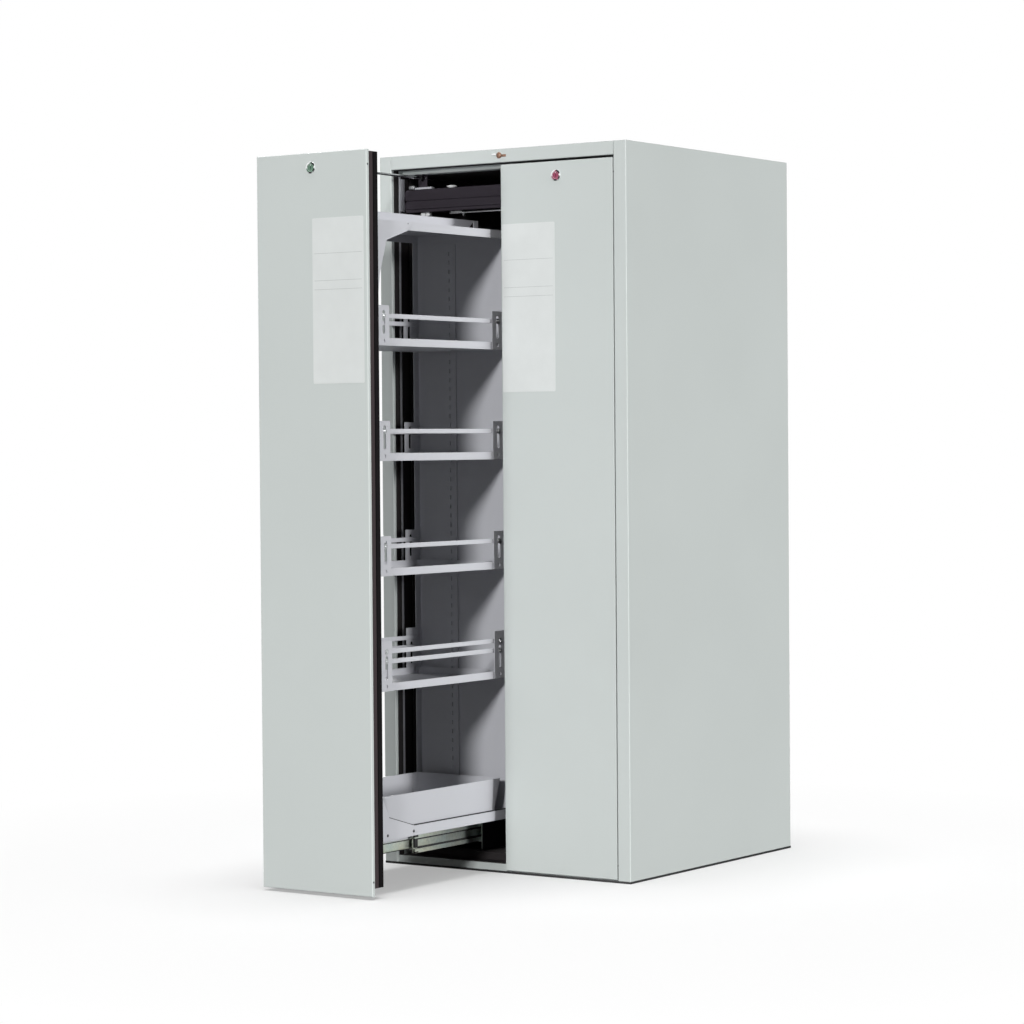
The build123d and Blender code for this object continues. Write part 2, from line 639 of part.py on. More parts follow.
def guide_rod():
    """Round rod from the back of a door through its bush under the ceiling."""
    return rod(ROD_RADIUS, ROD_X, ROD_Z, (DOOR_BACK_Y, BUSH_Y[1] + PULLOUT_TRAVEL + ROD_SPARE))


def front_upright():
    """Tall channel behind a door; its flanges flare into arms at the head and at the foot."""
    y, z = FRAME_Y[0], FRAME_Z
    reach = max(TOP_ARM_REACH, FOOT_ARM_REACH)
    line = [(FRAME_X[0], y + reach), (FRAME_X[0], y), (FRAME_X[1], y), (FRAME_X[1], y + reach)]
    sheet = along_z(folded(line, FRAME_SHEET, FRAME_BEND), z)
    flange = y + UPRIGHT_FLANGE
    bends = [0, 0, ARM_CORNER_RADIUS, ARM_TIP_RADIUS]
    bends += 5 * [ARM_RADIUS] + [ARM_TIP_RADIUS, ARM_CORNER_RADIUS]
    outline = FilletPolyline(
        (y, z[0]),
        (y, z[1]),
        (y + TOP_ARM_REACH, z[1]),
        (y + TOP_ARM_REACH - TOP_ARM_SLANT, z[1] - TOP_ARM_HEIGHT),
        (y + TOP_ARM_KNEE[0], z[1] - TOP_ARM_KNEE[1]),
        (y + TOP_ARM_FOOT[0], z[1] - TOP_ARM_FOOT[1]),
        (flange, z[1] - TOP_ARM_TAPER),
        (flange, z[0] + FOOT_ARM_TAPER),
        (y + FOOT_ARM_KNEE[0], z[0] + FOOT_ARM_KNEE[1]),
        (y + FOOT_ARM_REACH, z[0] + FOOT_ARM_HEIGHT),
        (y + FOOT_ARM_REACH, z[0]),
        radius=bends,
        close=True,
    )
    return sheet & along_x(make_face(outline), grown(FRAME_X, SEAM))


def rear_panel():
    """Back wall of a pull-out, its edges folded forwards."""
    y, front = FRAME_Y[1], FRAME_Y[1] - UPRIGHT_FLANGE
    line = [(FRAME_X[1], front), (FRAME_X[1], y), (FRAME_X[0], y), (FRAME_X[0], front)]
    return along_z(folded(line, FRAME_SHEET, FRAME_BEND), FRAME_Z)


def slotted_strip():
    """Strip with a column of slots on the rear panel, on the side away from the middle of the cabinet."""
    middle = PULLOUT_X + STRIP_OFFSET
    z = grown(FRAME_Z, -STRIP_END_GAP)
    y = (INSIDE_Y[1] - STRIP_THICKNESS, INSIDE_Y[1])
    strip = block((middle - STRIP_WIDTH / 2, middle + STRIP_WIDTH / 2), y, z)
    count = int((z[1] - z[0]) / STRIP_PITCH)
    width, height = STRIP_SLOT
    slot = Box(width, 4 * STRIP_THICKNESS, height)
    column = GridLocations(1, STRIP_PITCH, 1, count)
    centre = Pos(middle + STRIP_SLOT_OFFSET, y[0], sum(z) / 2)
    return strip - [centre * Pos(0, 0, place.position.Y) * slot for place in column]


def tray(x, y, z, wall, corner):
    """Open tray: a floor and four walls, with rounded upright corners."""
    size = (x[1] - x[0], y[1] - y[0])
    centre = Pos(sum(x) / 2, sum(y) / 2, z[0])
    outer = extrude(RectangleRounded(*size, corner), amount=z[1] - z[0])
    inner_face = RectangleRounded(size[0] - 2 * wall, size[1] - 2 * wall, corner - wall)
    inner = Pos(0, 0, wall) * extrude(inner_face, amount=z[1] - z[0])
    return centre * (outer - inner)


def head_tray():
    """Top plate of a pull-out, its edges turned down."""
    upright = tray(INSIDE_X, INSIDE_Y, span(FRAME_Z[1], HEAD_TRAY_HEIGHT), TRAY_SHEET, TRAY_CORNER)
    return mirror(upright, about=Plane.XY.offset(FRAME_Z[1]))


def head_channel():
    """Open channel on the top plate, long enough to stay under the closers, notched near its rear end."""
    half = HEAD_CHANNEL_WIDTH / 2
    foot, top = FRAME_Z[1], FRAME_Z[1] + HEAD_CHANNEL_HEIGHT
    line = [
        (PULLOUT_X - half, top),
        (PULLOUT_X - half, foot),
        (PULLOUT_X + half, foot),
        (PULLOUT_X + half, top),
    ]
    rear = FRAME_Y[1] + HEAD_CHANNEL_OVERHANG
    rail = along_y(folded(line, TRAY_SHEET, FRAME_BEND), (FRAME_Y[0], rear))
    near, far = [rear - setback for setback in CHANNEL_NOTCH]
    low, high = foot + FRAME_BEND, top - CHANNEL_NOTCH_INSET
    notch = make_face(Polyline((near, low), (near, high), (far, low), close=True))
    return rail - along_x(notch, (PULLOUT_X - 2 * half, PULLOUT_X + 2 * half))


def bottom_carrier():
    """Tray at the foot of a pull-out, on a deep beam between its two slides."""
    foot = FRAME_Z[0]
    pan = tray(INSIDE_X, INSIDE_Y, span(foot, CARRIER_RIM), TRAY_SHEET, TRAY_CORNER)
    low = foot - BEAM_DEPTH
    line = [
        (PULLOUT_X + BEAM_U, low),
        (PULLOUT_X + BEAM_U, foot),
        (PULLOUT_X - BEAM_U, foot),
        (PULLOUT_X - BEAM_U, low),
    ]
    return pan + along_y(folded(line, SLIDE_SHEET, SLIDE_BEND), BEAM_Y)


def shelf_foot(index):
    """Height of a shelf's underside; the first shelf is the top one."""
    pitch = (SHELF_Z[1] - SHELF_Z[0]) / (SHELF_COUNT - 1)
    return SHELF_Z[1] - index * pitch


def shelf(index):
    """Spill tray hung between the brackets."""
    return tray(SHELF_X, SHELF_Y, span(shelf_foot(index), SHELF_RIM), TRAY_SHEET, SHELF_CORNER)


def extra_rise(index):
    """The lowest shelf has a second, higher rail, and taller brackets for it."""
    return EXTRA_RAIL_RISE if index == SHELF_COUNT - 1 else 0.0


def shelf_brackets():
    """Slotted end plates that hook behind the flanges of the frame and carry the shelves."""
    plates = []
    for index in range(SHELF_COUNT):
        foot = shelf_foot(index)
        height = BRACKET_HEIGHT + extra_rise(index)
        slot_width, slot_height = BRACKET_SLOT
        face = Rectangle(BRACKET_WIDTH + BRACKET_TONGUE, height, align=(Align.MIN, Align.MIN))
        middle = BRACKET_TONGUE + BRACKET_WIDTH / 2
        slot_z = BRACKET_SLOT_FOOT + slot_height / 2
        face -= Pos(middle, slot_z) * Rot(0, 0, 90) * SlotOverall(slot_height, slot_width)
        face -= Pos(middle, BRACKET_HOLE_FOOT) * Circle(BRACKET_HOLE_RADIUS)
        front = Pos(0, SHELF_Y[0] - BRACKET_TONGUE, foot) * along_x(face, (INSIDE_X[0], SHELF_X[0]))
        back = mirror(front, about=Plane.XZ.offset(-sum(SHELF_Y) / 2))
        across = Plane.YZ.offset(PULLOUT_X)
        plates += [front, back, mirror(front, about=across), mirror(back, about=across)]
    return plates


def guard_rails():
    """Flat rails along both sides of each shelf, inside the brackets."""
    rails = []
    for index in range(SHELF_COUNT):
        middle = shelf_foot(index) + SHELF_RIM + RAIL_ABOVE_RIM
        levels = [middle] + ([middle + extra_rise(index)] if extra_rise(index) else [])
        for level in levels:
            bar = RectangleRounded(RAIL_SHEET, RAIL_HEIGHT, RAIL_RADIUS)
            rail = along_y(Pos(SHELF_X[0] + RAIL_SHEET / 2, level) * bar, SHELF_Y)
            rails += [rail, mirror(rail, about=Plane.YZ.offset(PULLOUT_X))]
    return rails


def sump_tray():
    """Deep collecting tray with slanted walls, standing in the bottom carrier."""
    foot = FRAME_Z[0] + TRAY_SHEET
    top_x = grown(INSIDE_X, -TRAY_SHEET - SUMP_SIDE_GAP)
    top_y = grown(INSIDE_Y, -SUMP_END_GAP)
    top = (top_x[1] - top_x[0], top_y[1] - top_y[0])
    low = (top[0] - 2 * SUMP_SIDE_SLANT, top[1] - 2 * SUMP_END_SLANT)

    def frustum(inset):
        """The tray's outer form, or its hollow if inset by the wall."""
        faces = []
        for size, height in ((low, inset), (top, SUMP_HEIGHT)):
            across, along = [side - 2 * inset for side in size]
            faces.append(Pos(0, 0, height) * RectangleRounded(across, along, SUMP_CORNER - inset))
        return loft(faces)

    centre = Pos(sum(top_x) / 2, sum(top_y) / 2, foot)
    return centre * (frustum(0) - frustum(SUMP_WALL))


def carcass():
    """Everything that stands still."""
    consoles = both_sides(slide_console())
    rails = outer_rails()
    return {
        "side_panel_left": mirrored(side_panel()),
        "side_panel_right": side_panel(),
        "back_panel": back_panel(),
        "roof_panel": roof_panel(),
        "base_pan": base_pan(),
        "top_fascia": top_fascia(),
        "fire_boards": fire_boards(),
        "wall_linings": wall_linings(),
        "floor_lining": floor_lining(),
        "frame_seals": frame_seals(),
        "exhaust_spigot": exhaust_spigot(),
        "levelling_feet": levelling_feet(),
        "closer_housings": closer_housings(),
        "guide_brackets": both_sides(guide_bracket()),
        "slide_consoles": consoles,
        "slide_outer_rails": rails + [mirrored(rail) for rail in rails],
    }


def pullout():
    """The right pull-out, shut."""
    pieces = {
        "door_skin": door_skin(),
        "door_core": door_core(),
        "door_edge_seal": door_edge_seal(),
        "door_back_sheet": door_back_sheet(),
        "lock_housing": lock_housing(),
        "lock_cylinder": lock_cylinder(),
        "guide_rod": guide_rod(),
        "front_upright": front_upright(),
        "rear_panel": rear_panel(),
        "slotted_strip": slotted_strip(),
        "head_tray": head_tray(),
        "head_channel": head_channel(),
        "bottom_carrier": bottom_carrier(),
        "shelf_brackets": shelf_brackets(),
        "guard_rails": guard_rails(),
        "sump_tray": sump_tray(),
        "inner_rails": inner_rails(),
        "middle_rails": middle_rails(),
    }
    for index in range(SHELF_COUNT):
        pieces[f"shelf_{index + 1}"] = shelf(index)
    return pieces


def travel_share(name):
    """Share of a pull-out's travel that a piece makes: the middle rails go half as far."""
    return 0.5 if name == "middle_rails" else 1.0


def write(name, shape):
    """One file for each named piece or group of like pieces."""
    solids = [solid for each in (shape if isinstance(shape, list) else [shape]) for solid in each.solids()]
    export_step(solids[0] if len(solids) == 1 else Compound(solids), f"parts/{name}.step")


os.makedirs("parts", exist_ok=True)
for name, shape in carcass().items():
    write(name, shape)
for name, shape in pullout().items():
    solids = shape if isinstance(shape, list) else [shape]
    drawn_out = Pos(0, -LEFT_DRAWN_OUT * travel_share(name), 0)
    write(f"right_{name}", solids)
    write(f"left_{name}", [drawn_out * mirrored(solid) for solid in solids])
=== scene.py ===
"""Finishes, small trim and studio of a fire-resistant storage cabinet with two tall pull-outs."""

import json
import math

import bmesh
import bpy
from bpy.props import FloatProperty, FloatVectorProperty, PointerProperty
from bpy.types import Operator, Panel, PropertyGroup
from mathutils import Matrix, Vector


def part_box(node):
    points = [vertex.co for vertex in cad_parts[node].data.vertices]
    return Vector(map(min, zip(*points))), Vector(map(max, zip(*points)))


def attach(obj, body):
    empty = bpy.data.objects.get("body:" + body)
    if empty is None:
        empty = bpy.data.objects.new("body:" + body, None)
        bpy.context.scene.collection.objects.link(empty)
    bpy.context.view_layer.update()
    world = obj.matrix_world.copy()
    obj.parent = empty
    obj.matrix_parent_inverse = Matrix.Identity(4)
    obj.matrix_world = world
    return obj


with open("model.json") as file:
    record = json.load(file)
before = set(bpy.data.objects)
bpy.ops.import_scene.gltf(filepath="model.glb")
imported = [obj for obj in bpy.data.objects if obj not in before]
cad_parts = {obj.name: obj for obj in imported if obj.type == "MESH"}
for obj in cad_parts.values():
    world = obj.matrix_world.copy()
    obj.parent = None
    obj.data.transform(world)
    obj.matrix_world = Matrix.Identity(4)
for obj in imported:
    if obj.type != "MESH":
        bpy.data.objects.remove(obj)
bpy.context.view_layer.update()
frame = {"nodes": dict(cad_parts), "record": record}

bl_info = {
    "name": "Fire-resistant storage cabinet",
    "version": (1, 0, 0),
    "blender": (4, 5, 0),
    "location": "3D View > Sidebar > Cabinet",
    "description": "Finishes, small trim and studio of a storage cabinet with two tall pull-outs",
    "category": "Object",
}

SIDES = {"left": -1, "right": 1}
SHELVES = range(1, 5)
FORWARD, BACKWARD, UP = (0, -1, 0), (0, 1, 0), (0, 0, 1)
MERGE = 1e-6
SMOOTH_BELOW = math.radians(32)
FINISH_NAME = "{}_finish"
WHITE = (1.0, 1.0, 1.0, 1.0)
NOISE_SPAN = (0.3, 0.7)  # where most values of a noise texture lie
BEVEL_SAMPLES = 4

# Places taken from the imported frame, in metres
FACE_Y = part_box("top_fascia")[0].y
CEILING_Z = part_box("top_fascia")[0].z
FLOOR_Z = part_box("floor_lining")[1].z
JAMB_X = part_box("floor_lining")[1].x
CLOSER_LOW, CLOSER_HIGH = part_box("closer_housings")
CLOSER_Y = (CLOSER_LOW.y + CLOSER_HIGH.y) / 2


def middle_of(node):
    """Middle of a node's box."""
    low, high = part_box(node)
    return (low + high) / 2


def length(name, description, default):
    """Property for a size in metres."""
    return FloatProperty(name=name, description=description, default=default, unit="LENGTH", precision=4)


def lengths(name, description, default):
    """Property for two or three sizes in metres."""
    return FloatVectorProperty(
        name=name, description=description, default=default, size=len(default), unit="LENGTH", precision=4
    )


def colour(name, description, default):
    """Property for a colour."""
    return FloatVectorProperty(
        name=name, description=description, default=default, size=3, subtype="COLOR", min=0.0, max=1.0
    )


def brightness(name, description, default):
    """Property for the strength of a light."""
    return FloatProperty(name=name, description=description, default=default)


def fraction(name, description, default):
    """Property for a share between nought and one."""
    return FloatProperty(name=name, description=description, default=default, subtype="FACTOR")


class CabinetFinish(PropertyGroup):
    """Colours of the finishes."""

    cabinet_paint: colour("Cabinet paint", "Powder coat of the carcass and doors", (0.500, 0.535, 0.523))
    frame_paint: colour("Frame paint", "Powder coat of frames, shelves and trays", (0.480, 0.485, 0.514))
    lining: colour("Lining", "Coated boards inside the cavity", (0.060, 0.053, 0.054))
    seal: colour("Swelling seal", "Black seals on the jambs", (0.014, 0.012, 0.0125))
    edge_front: colour("Edge band, front", "Front band of the door's edge", (0.044, 0.034, 0.036))
    edge_rear: colour("Edge band, rear", "Rear band of the door's edge", (0.005, 0.0038, 0.0045))
    zinc_pale: colour("Zinc, pale", "Plated steel", (0.70, 0.80, 0.77))
    zinc_yellow: colour("Zinc, yellow", "Passivated tint of the plating", (0.80, 0.77, 0.60))
    steel: colour("Steel", "Ground rods, lock and screws", (0.74, 0.75, 0.76))
    # The closer colour is a dark anodised tone made darker still as painted shade, as the lamps reach the
    # housings directly.
    closer: colour("Closer", "Dark anodised housings", (0.029, 0.0240, 0.0310))
    fire_board: colour("Fire board", "Pressed mineral board", (0.52, 0.49, 0.43))
    plate: colour("Plate", "Foil of the blank plates", (0.592, 0.616, 0.608))
    plate_line: colour("Plate line", "Lines between the plate's fields", (0.400, 0.424, 0.420))
    sign_left: colour("Sign, left", "Lock face of the open pull-out", (0.118, 0.210, 0.150))
    sign_right: colour("Sign, right", "Lock face of the shut pull-out", (0.290, 0.055, 0.105))
    copper: colour("Copper", "Fusible plug in the fascia", (0.215, 0.120, 0.080))
    nylon: colour("Nylon", "White guide blocks and discs", (0.760, 0.770, 0.770))
    rubber: colour("Rubber", "Buffers on the slides", (0.012, 0.012, 0.013))


class CabinetTrim(PropertyGroup):
    """Sizes of the trim pieces."""

    left_plate: lengths("Left plate", "Width and height", (0.166, 0.427))
    left_plate_place: lengths("Left plate place", "From the meeting edge and the top", (0.0112, 0.1695))
    right_plate: lengths("Right plate", "Width and height", (0.171, 0.454))
    right_plate_place: lengths("Right plate place", "From the meeting edge and the top", (0.0032, 0.1615))
    plate_thickness: length("Plate thickness", "Foil on the door", 0.0004)
    plate_corner: length("Plate corner", "Radius of the plate's corners", 0.004)
    plate_line: length("Plate line", "Width of a line between two fields", 0.0011)
    plate_margin: length("Plate margin", "From a line's end to the plate's edge", 0.006)
    sign_ring: lengths("Sign ring", "Inner and outer radius of the lock's indicator", (0.0096, 0.0134))
    sign_height: length("Sign height", "How far the indicator stands off the rose", 0.0005)
    key_mark: lengths("Key mark", "Width and length of the mark on the cylinder", (0.0014, 0.0030))
    plug_radius: length("Plug radius", "Fusible plug in the fascia", 0.0085)
    plug_place: lengths("Plug place", "From the middle and below the top of the fascia", (-0.001, 0.0172))
    seal_strip: lengths("Seal strip", "Start and end behind the front edge", (0.0327, 0.0423))
    seal_strip_rise: length("Seal strip rise", "Thickness of the bright strip", 0.0012)
    buffer: lengths("Buffer", "How far it stands before the rail and reaches into it", (0.002, 0.014))
    buffer_cap: lengths("Buffer cap", "Height of the caps on the upper and lower lip", (0.0075, 0.0040))
    buffer_rise: length("Buffer rise", "How far a cap stands off the lip", 0.0007)
    edging: lengths("Edging", "How far it stands proud and its height", (0.0005, 0.0024))
    screw_radius: length("Screw radius", "Small pan-head screws", 0.0040)
    rail_washer: length("Rail washer", "Radius of the washer on a guard rail's screw", 0.0074)
    bolt_radius: length("Bolt radius", "Hexagon bolts in the front upright", 0.0075)
    rivet_radius: length("Rivet radius", "Blind rivets of the back and the spigot", 0.0034)
    rivet_pitch: length("Rivet pitch", "Largest spacing of the rivets in the back", 0.24)
    disc_radius: length("Disc radius", "White discs on the upper closer", 0.0145)
    disc_x: length("Disc place", "From the middle of the cabinet", 0.215)
    guide_x: length("Guide block place", "From the middle of the cabinet", 0.3035)
    guide_size: lengths("Guide block size", "Width, depth and height", (0.029, 0.014, 0.0105))
    link_reach: length("Link reach", "From the middle of the cabinet to the end of the release link", 0.222)
    hook_x: length("Hook place", "From the middle of the cabinet to the bend of a hook", 0.182)


class CabinetStage(PropertyGroup):
    """Camera, lamps and background."""

    camera_place: lengths("Camera place", "Position of the camera", (4.7460, -7.2704, 1.1687))
    camera_turn: FloatVectorProperty(
        name="Camera turn",
        description="Euler angles of the camera",
        subtype="EULER",
        unit="ROTATION",
        default=(math.radians(88.721), math.radians(0.440), math.radians(34.558)),
    )
    camera_lens: FloatProperty(
        name="Lens", description="Focal length on a 36 mm sensor", unit="CAMERA", default=107.88
    )
    sky: brightness("Sky", "Even light all round", 0.07)
    gloss: fraction("Gloss", "Share of the white surround that is mirrored", 0.10)
    floor_glow: fraction("Floor glow", "Share of plain white in the floor", 0.38)
    key: brightness("Key", "Light from the right of the front", 2.12)
    front: brightness("Front", "Light from straight ahead", 1.05)
    side: brightness("Side", "Light from the right", 2.58)
    back: brightness("Back", "Light from behind on the left", 2.5)
    top: brightness("Top", "Light from above", 3.0)


def plug(tree, node, inputs):
    """Sets a node's inputs, by name or number, to values or links them to sockets."""
    for key, value in inputs.items():
        if isinstance(value, bpy.types.NodeSocket):
            tree.links.new(value, node.inputs[key])
        else:
            node.inputs[key].default_value = value
    return node


def shader_node(tree, kind, inputs=None, **settings):
    """New node in a shader tree, with its settings and inputs."""
    made = tree.nodes.new(kind)
    for name, value in settings.items():
        setattr(made, name, value)
    return plug(tree, made, inputs or {})


def shader_math(tree, operation, *values, clamp=False):
    """Output of a math node on values or sockets."""
    inputs = dict(enumerate(values))
    return shader_node(tree, "ShaderNodeMath", inputs, operation=operation, use_clamp=clamp).outputs[0]


def vector_math(tree, operation, *values):
    """Outputs of a vector math node on vectors or sockets."""
    return shader_node(tree, "ShaderNodeVectorMath", dict(enumerate(values)), operation=operation).outputs


def blended(tree, factor, first, second):
    """Output of a mix between two colours."""
    return shader_node(tree, "ShaderNodeMix", {0: factor, 6: first, 7: second}, data_type="RGBA").outputs[2]


def ranged(tree, value, low, high, start=0.0, end=1.0):
    """Value mapped from one range to another."""
    inputs = {"Value": value, "From Min": start, "From Max": end, "To Min": low, "To Max": high}
    return shader_node(tree, "ShaderNodeMapRange", inputs).outputs["Result"]


def noise_range(tree, shade, low, high):
    """Noise mapped to a range."""
    return ranged(tree, shade, low, high, *NOISE_SPAN)


def noise(tree, vector, scale, detail, roughness=0.5):
    """Value of a noise texture."""
    inputs = {"Vector": vector, "Scale": scale, "Detail": detail, "Roughness": roughness}
    return shader_node(tree, "ShaderNodeTexNoise", inputs).outputs["Fac"]


def varied(tree, rgb, value):
    """Colour whose brightness follows a value."""
    return shader_node(tree, "ShaderNodeHueSaturation", {"Color": rgb, "Value": value}).outputs["Color"]


SOCKET_KINDS = {"Vector": "NodeSocketVector", "Stretch": "NodeSocketVector", "Colour": "NodeSocketColor"}


def orange_peel(tree, given):
    """Fine pebbled skin of a powder coat."""
    scale = shader_math(tree, "DIVIDE", 1.0, given["Grain"])
    coarse = noise(tree, given["Vector"], scale, 1.0)
    fine = noise(tree, given["Vector"], shader_math(tree, "MULTIPLY", scale, 3.1), 2.0)
    return {"Height": shader_math(tree, "ADD", coarse, shader_math(tree, "MULTIPLY", fine, 0.35))}


def uneven_tone(tree, given):
    """Slow drift of tone over a large surface."""
    drift = noise(tree, given["Vector"], shader_math(tree, "DIVIDE", 1.0, given["Size"]), 4.0, 0.55)
    centred = shader_math(tree, "SUBTRACT", drift, 0.5)
    swing = shader_math(tree, "MULTIPLY", centred, given["Amount"])
    value = shader_math(tree, "MULTIPLY_ADD", swing, 2.0, 1.0)
    return {"Colour": varied(tree, given["Colour"], value), "Shade": drift}


def rubbed_edges(tree, given):
    """Mask of the sharp edges, broken up by noise, through which powder_coat paints a highlight or shade
    along the edges.
    """
    rounded = shader_node(tree, "ShaderNodeBevel", {"Radius": given["Width"]}, samples=BEVEL_SAMPLES)
    geometry = shader_node(tree, "ShaderNodeNewGeometry")
    facing = vector_math(tree, "DOT_PRODUCT", rounded.outputs["Normal"], geometry.outputs["Normal"])
    bend = shader_math(tree, "SUBTRACT", 1.0, facing["Value"])
    edge = ranged(tree, bend, 0.0, 1.0, 0.02, 0.22)
    patchy = ranged(tree, noise(tree, given["Vector"], 60.0, 3.0), 0.35, 1.0, 0.35, 0.65)
    return {"Mask": shader_math(tree, "MULTIPLY", edge, patchy, clamp=True)}


def drawn_streaks(tree, given):
    """Streaks of rolled or brushed metal; Stretch says how fine they are along each axis."""
    stretched = vector_math(tree, "MULTIPLY", given["Vector"], given["Stretch"])
    return {"Shade": noise(tree, stretched["Vector"], 1.0, 5.0, 0.6)}


def zinc_bloom(tree, given):
    """Cloudy cells of a zinc plating."""
    scale = shader_math(tree, "DIVIDE", 1.0, given["Size"])
    cells = shader_node(tree, "ShaderNodeTexVoronoi", {"Vector": given["Vector"], "Scale": scale})
    level = shader_node(tree, "ShaderNodeSeparateColor", {"Color": cells.outputs["Color"]})
    return {"Cells": level.outputs["Red"], "Clouds": noise(tree, given["Vector"], 9.0, 3.0)}


# Default inputs of each shared effect
EFFECTS = {
    orange_peel: {"Grain": 0.002},
    uneven_tone: {"Colour": (0.5, 0.5, 0.5, 1.0), "Amount": 0.03, "Size": 0.4},
    rubbed_edges: {"Width": 0.001},
    drawn_streaks: {"Stretch": (900.0, 6.0, 900.0)},
    zinc_bloom: {"Size": 0.02},
}


def add_socket(tree, key, way):
    """Socket on the outside of a group."""
    return tree.interface.new_socket(key, in_out=way, socket_type=SOCKET_KINDS.get(key, "NodeSocketFloat"))


def new_group(maker):
    """Node group of a shared effect."""
    tree = bpy.data.node_groups.new(maker.__name__, "ShaderNodeTree")
    add_socket(tree, "Vector", "INPUT")
    for key, default in EFFECTS[maker].items():
        add_socket(tree, key, "INPUT").default_value = default
    results = maker(tree, tree.nodes.new("NodeGroupInput").outputs)
    for key in results:
        add_socket(tree, key, "OUTPUT")
    plug(tree, tree.nodes.new("NodeGroupOutput"), results)
    return tree


def effect(tree, maker, place, **inputs):
    """A shared effect placed in a material; returns its outputs."""
    group = bpy.data.node_groups.get(maker.__name__) or new_group(maker)
    return shader_node(tree, "ShaderNodeGroup", {"Vector": place, **inputs}, node_tree=group).outputs


def scaled(rgb, factor=1.0):
    """Colour made lighter or darker, with full alpha."""
    return (*(min(1.0, part * factor) for part in rgb), 1.0)


def relief(tree, height, depth, force, edge):
    """Normal of a relief over edges that are rounded for the eye."""
    rounded = shader_node(tree, "ShaderNodeBevel", {"Radius": edge}, samples=BEVEL_SAMPLES)
    inputs = {"Strength": force, "Distance": depth, "Height": height, "Normal": rounded.outputs["Normal"]}
    return shader_node(tree, "ShaderNodeBump", inputs).outputs["Normal"]


def powder_coat(tree, place, rgb, grain, roughness, painted_edge_tone, painted_edge_share):
    """Satin powder coat on sheet steel; an edge tone above one paints a highlight along its edges, one below
    paints shade there.
    """
    tone = effect(tree, uneven_tone, place, Colour=scaled(rgb), Amount=0.035, Size=0.45)
    edges = effect(tree, rubbed_edges, place, Width=0.0009)
    # edge tone mixed in over the edge mask: painted highlight or painted shade along the edges
    edge_paint_mask = shader_math(tree, "MULTIPLY", edges["Mask"], painted_edge_share)
    peel = effect(tree, orange_peel, place, Grain=grain)
    return {
        "Base Color": blended(tree, edge_paint_mask, tone["Colour"], scaled(rgb, painted_edge_tone)),
        "Roughness": noise_range(tree, tone["Shade"], roughness - 0.05, roughness + 0.05),
        "Specular IOR Level": 0.28,
        "Normal": relief(tree, peel["Height"], 0.0001, 0.35, 0.0005),
    }


def lining_board(tree, place, rgb):
    """Coated board with a faint mottle and fine specks."""
    tone = effect(tree, uneven_tone, place, Colour=scaled(rgb), Amount=0.30, Size=0.12)
    specks = noise(tree, place, 650.0, 2.0)
    speck_mask = ranged(tree, specks, 0.0, 0.55, 0.60, 0.72)
    return {
        "Base Color": blended(tree, speck_mask, tone["Colour"], scaled(rgb, 1.9)),
        "Roughness": noise_range(tree, tone["Shade"], 0.52, 0.68),
        "Normal": relief(tree, specks, 0.0001, 0.4, 0.0006),
    }


def fire_board(tree, place, rgb):
    """Pressed mineral board with a fibrous face."""
    fibres = effect(tree, drawn_streaks, place, Stretch=(160.0, 160.0, 700.0))
    return {
        "Base Color": effect(tree, uneven_tone, place, Colour=scaled(rgb), Amount=0.16, Size=0.03)["Colour"],
        "Roughness": 0.9,
        "Normal": relief(tree, fibres["Shade"], 0.0004, 0.5, 0.0006),
    }


def streaked(tree, place, rgb, stretch, tones, roughness, gloss, depth, edge):
    """Dark skin with fine streaks between two tones and two roughnesses."""
    streaks = effect(tree, drawn_streaks, place, Stretch=stretch)["Shade"]
    return {
        "Base Color": blended(tree, streaks, *(scaled(rgb, tone) for tone in tones)),
        "Roughness": noise_range(tree, streaks, *roughness),
        "Specular IOR Level": gloss,
        "Normal": relief(tree, streaks, depth, 0.3, edge),
    }


def edge_seal(tree, place, front, rear, groove):
    """Edge of a door in two bands, brown in front of its groove and nearly black behind it."""
    depth = shader_node(tree, "ShaderNodeSeparateXYZ", {"Vector": place}).outputs["Y"]
    behind = shader_math(tree, "GREATER_THAN", depth, groove.y)
    bands = blended(tree, behind, scaled(front), scaled(rear))
    streaks = effect(tree, drawn_streaks, place, Stretch=(900.0, 900.0, 4.0))["Shade"]
    return {
        "Base Color": varied(tree, bands, ranged(tree, streaks, 0.75, 1.3)),
        "Roughness": noise_range(tree, streaks, 0.62, 0.80),
        "Specular IOR Level": 0.08,
        "Normal": relief(tree, streaks, 0.0001, 0.3, 0.0008),
    }


def zinc_steel(tree, place, pale, yellow):
    """Plated steel with a faint yellow and green passivation, rolled along the cabinet's depth."""
    bloom = effect(tree, zinc_bloom, place, Size=0.006)
    streaks = effect(tree, drawn_streaks, place, Stretch=(700.0, 7.0, 700.0))["Shade"]
    tint = ranged(tree, bloom["Clouds"], 0.05, 0.75, 0.38, 0.66)
    plating = blended(tree, tint, scaled(pale), scaled(yellow))
    mixed = shader_math(tree, "MULTIPLY", bloom["Cells"], streaks)
    return {
        "Base Color": varied(tree, plating, ranged(tree, mixed, 0.92, 1.08, 0.0, 0.6)),
        "Metallic": 0.9,
        "Roughness": noise_range(tree, streaks, 0.30, 0.46),
        "Normal": relief(tree, streaks, 0.00005, 0.25, 0.0006),
    }


def ground_steel(tree, place, rgb, tone, stretch, roughness):
    """Steel with fine grinding marks."""
    marks = effect(tree, drawn_streaks, place, Stretch=stretch)["Shade"]
    return {
        "Base Color": blended(tree, marks, scaled(rgb, tone * 0.86), scaled(rgb, tone * 1.08)),
        "Metallic": 1.0,
        "Roughness": noise_range(tree, marks, roughness * 0.7, roughness * 1.4),
        "Normal": relief(tree, marks, 0.00003, 0.2, 0.0004),
    }


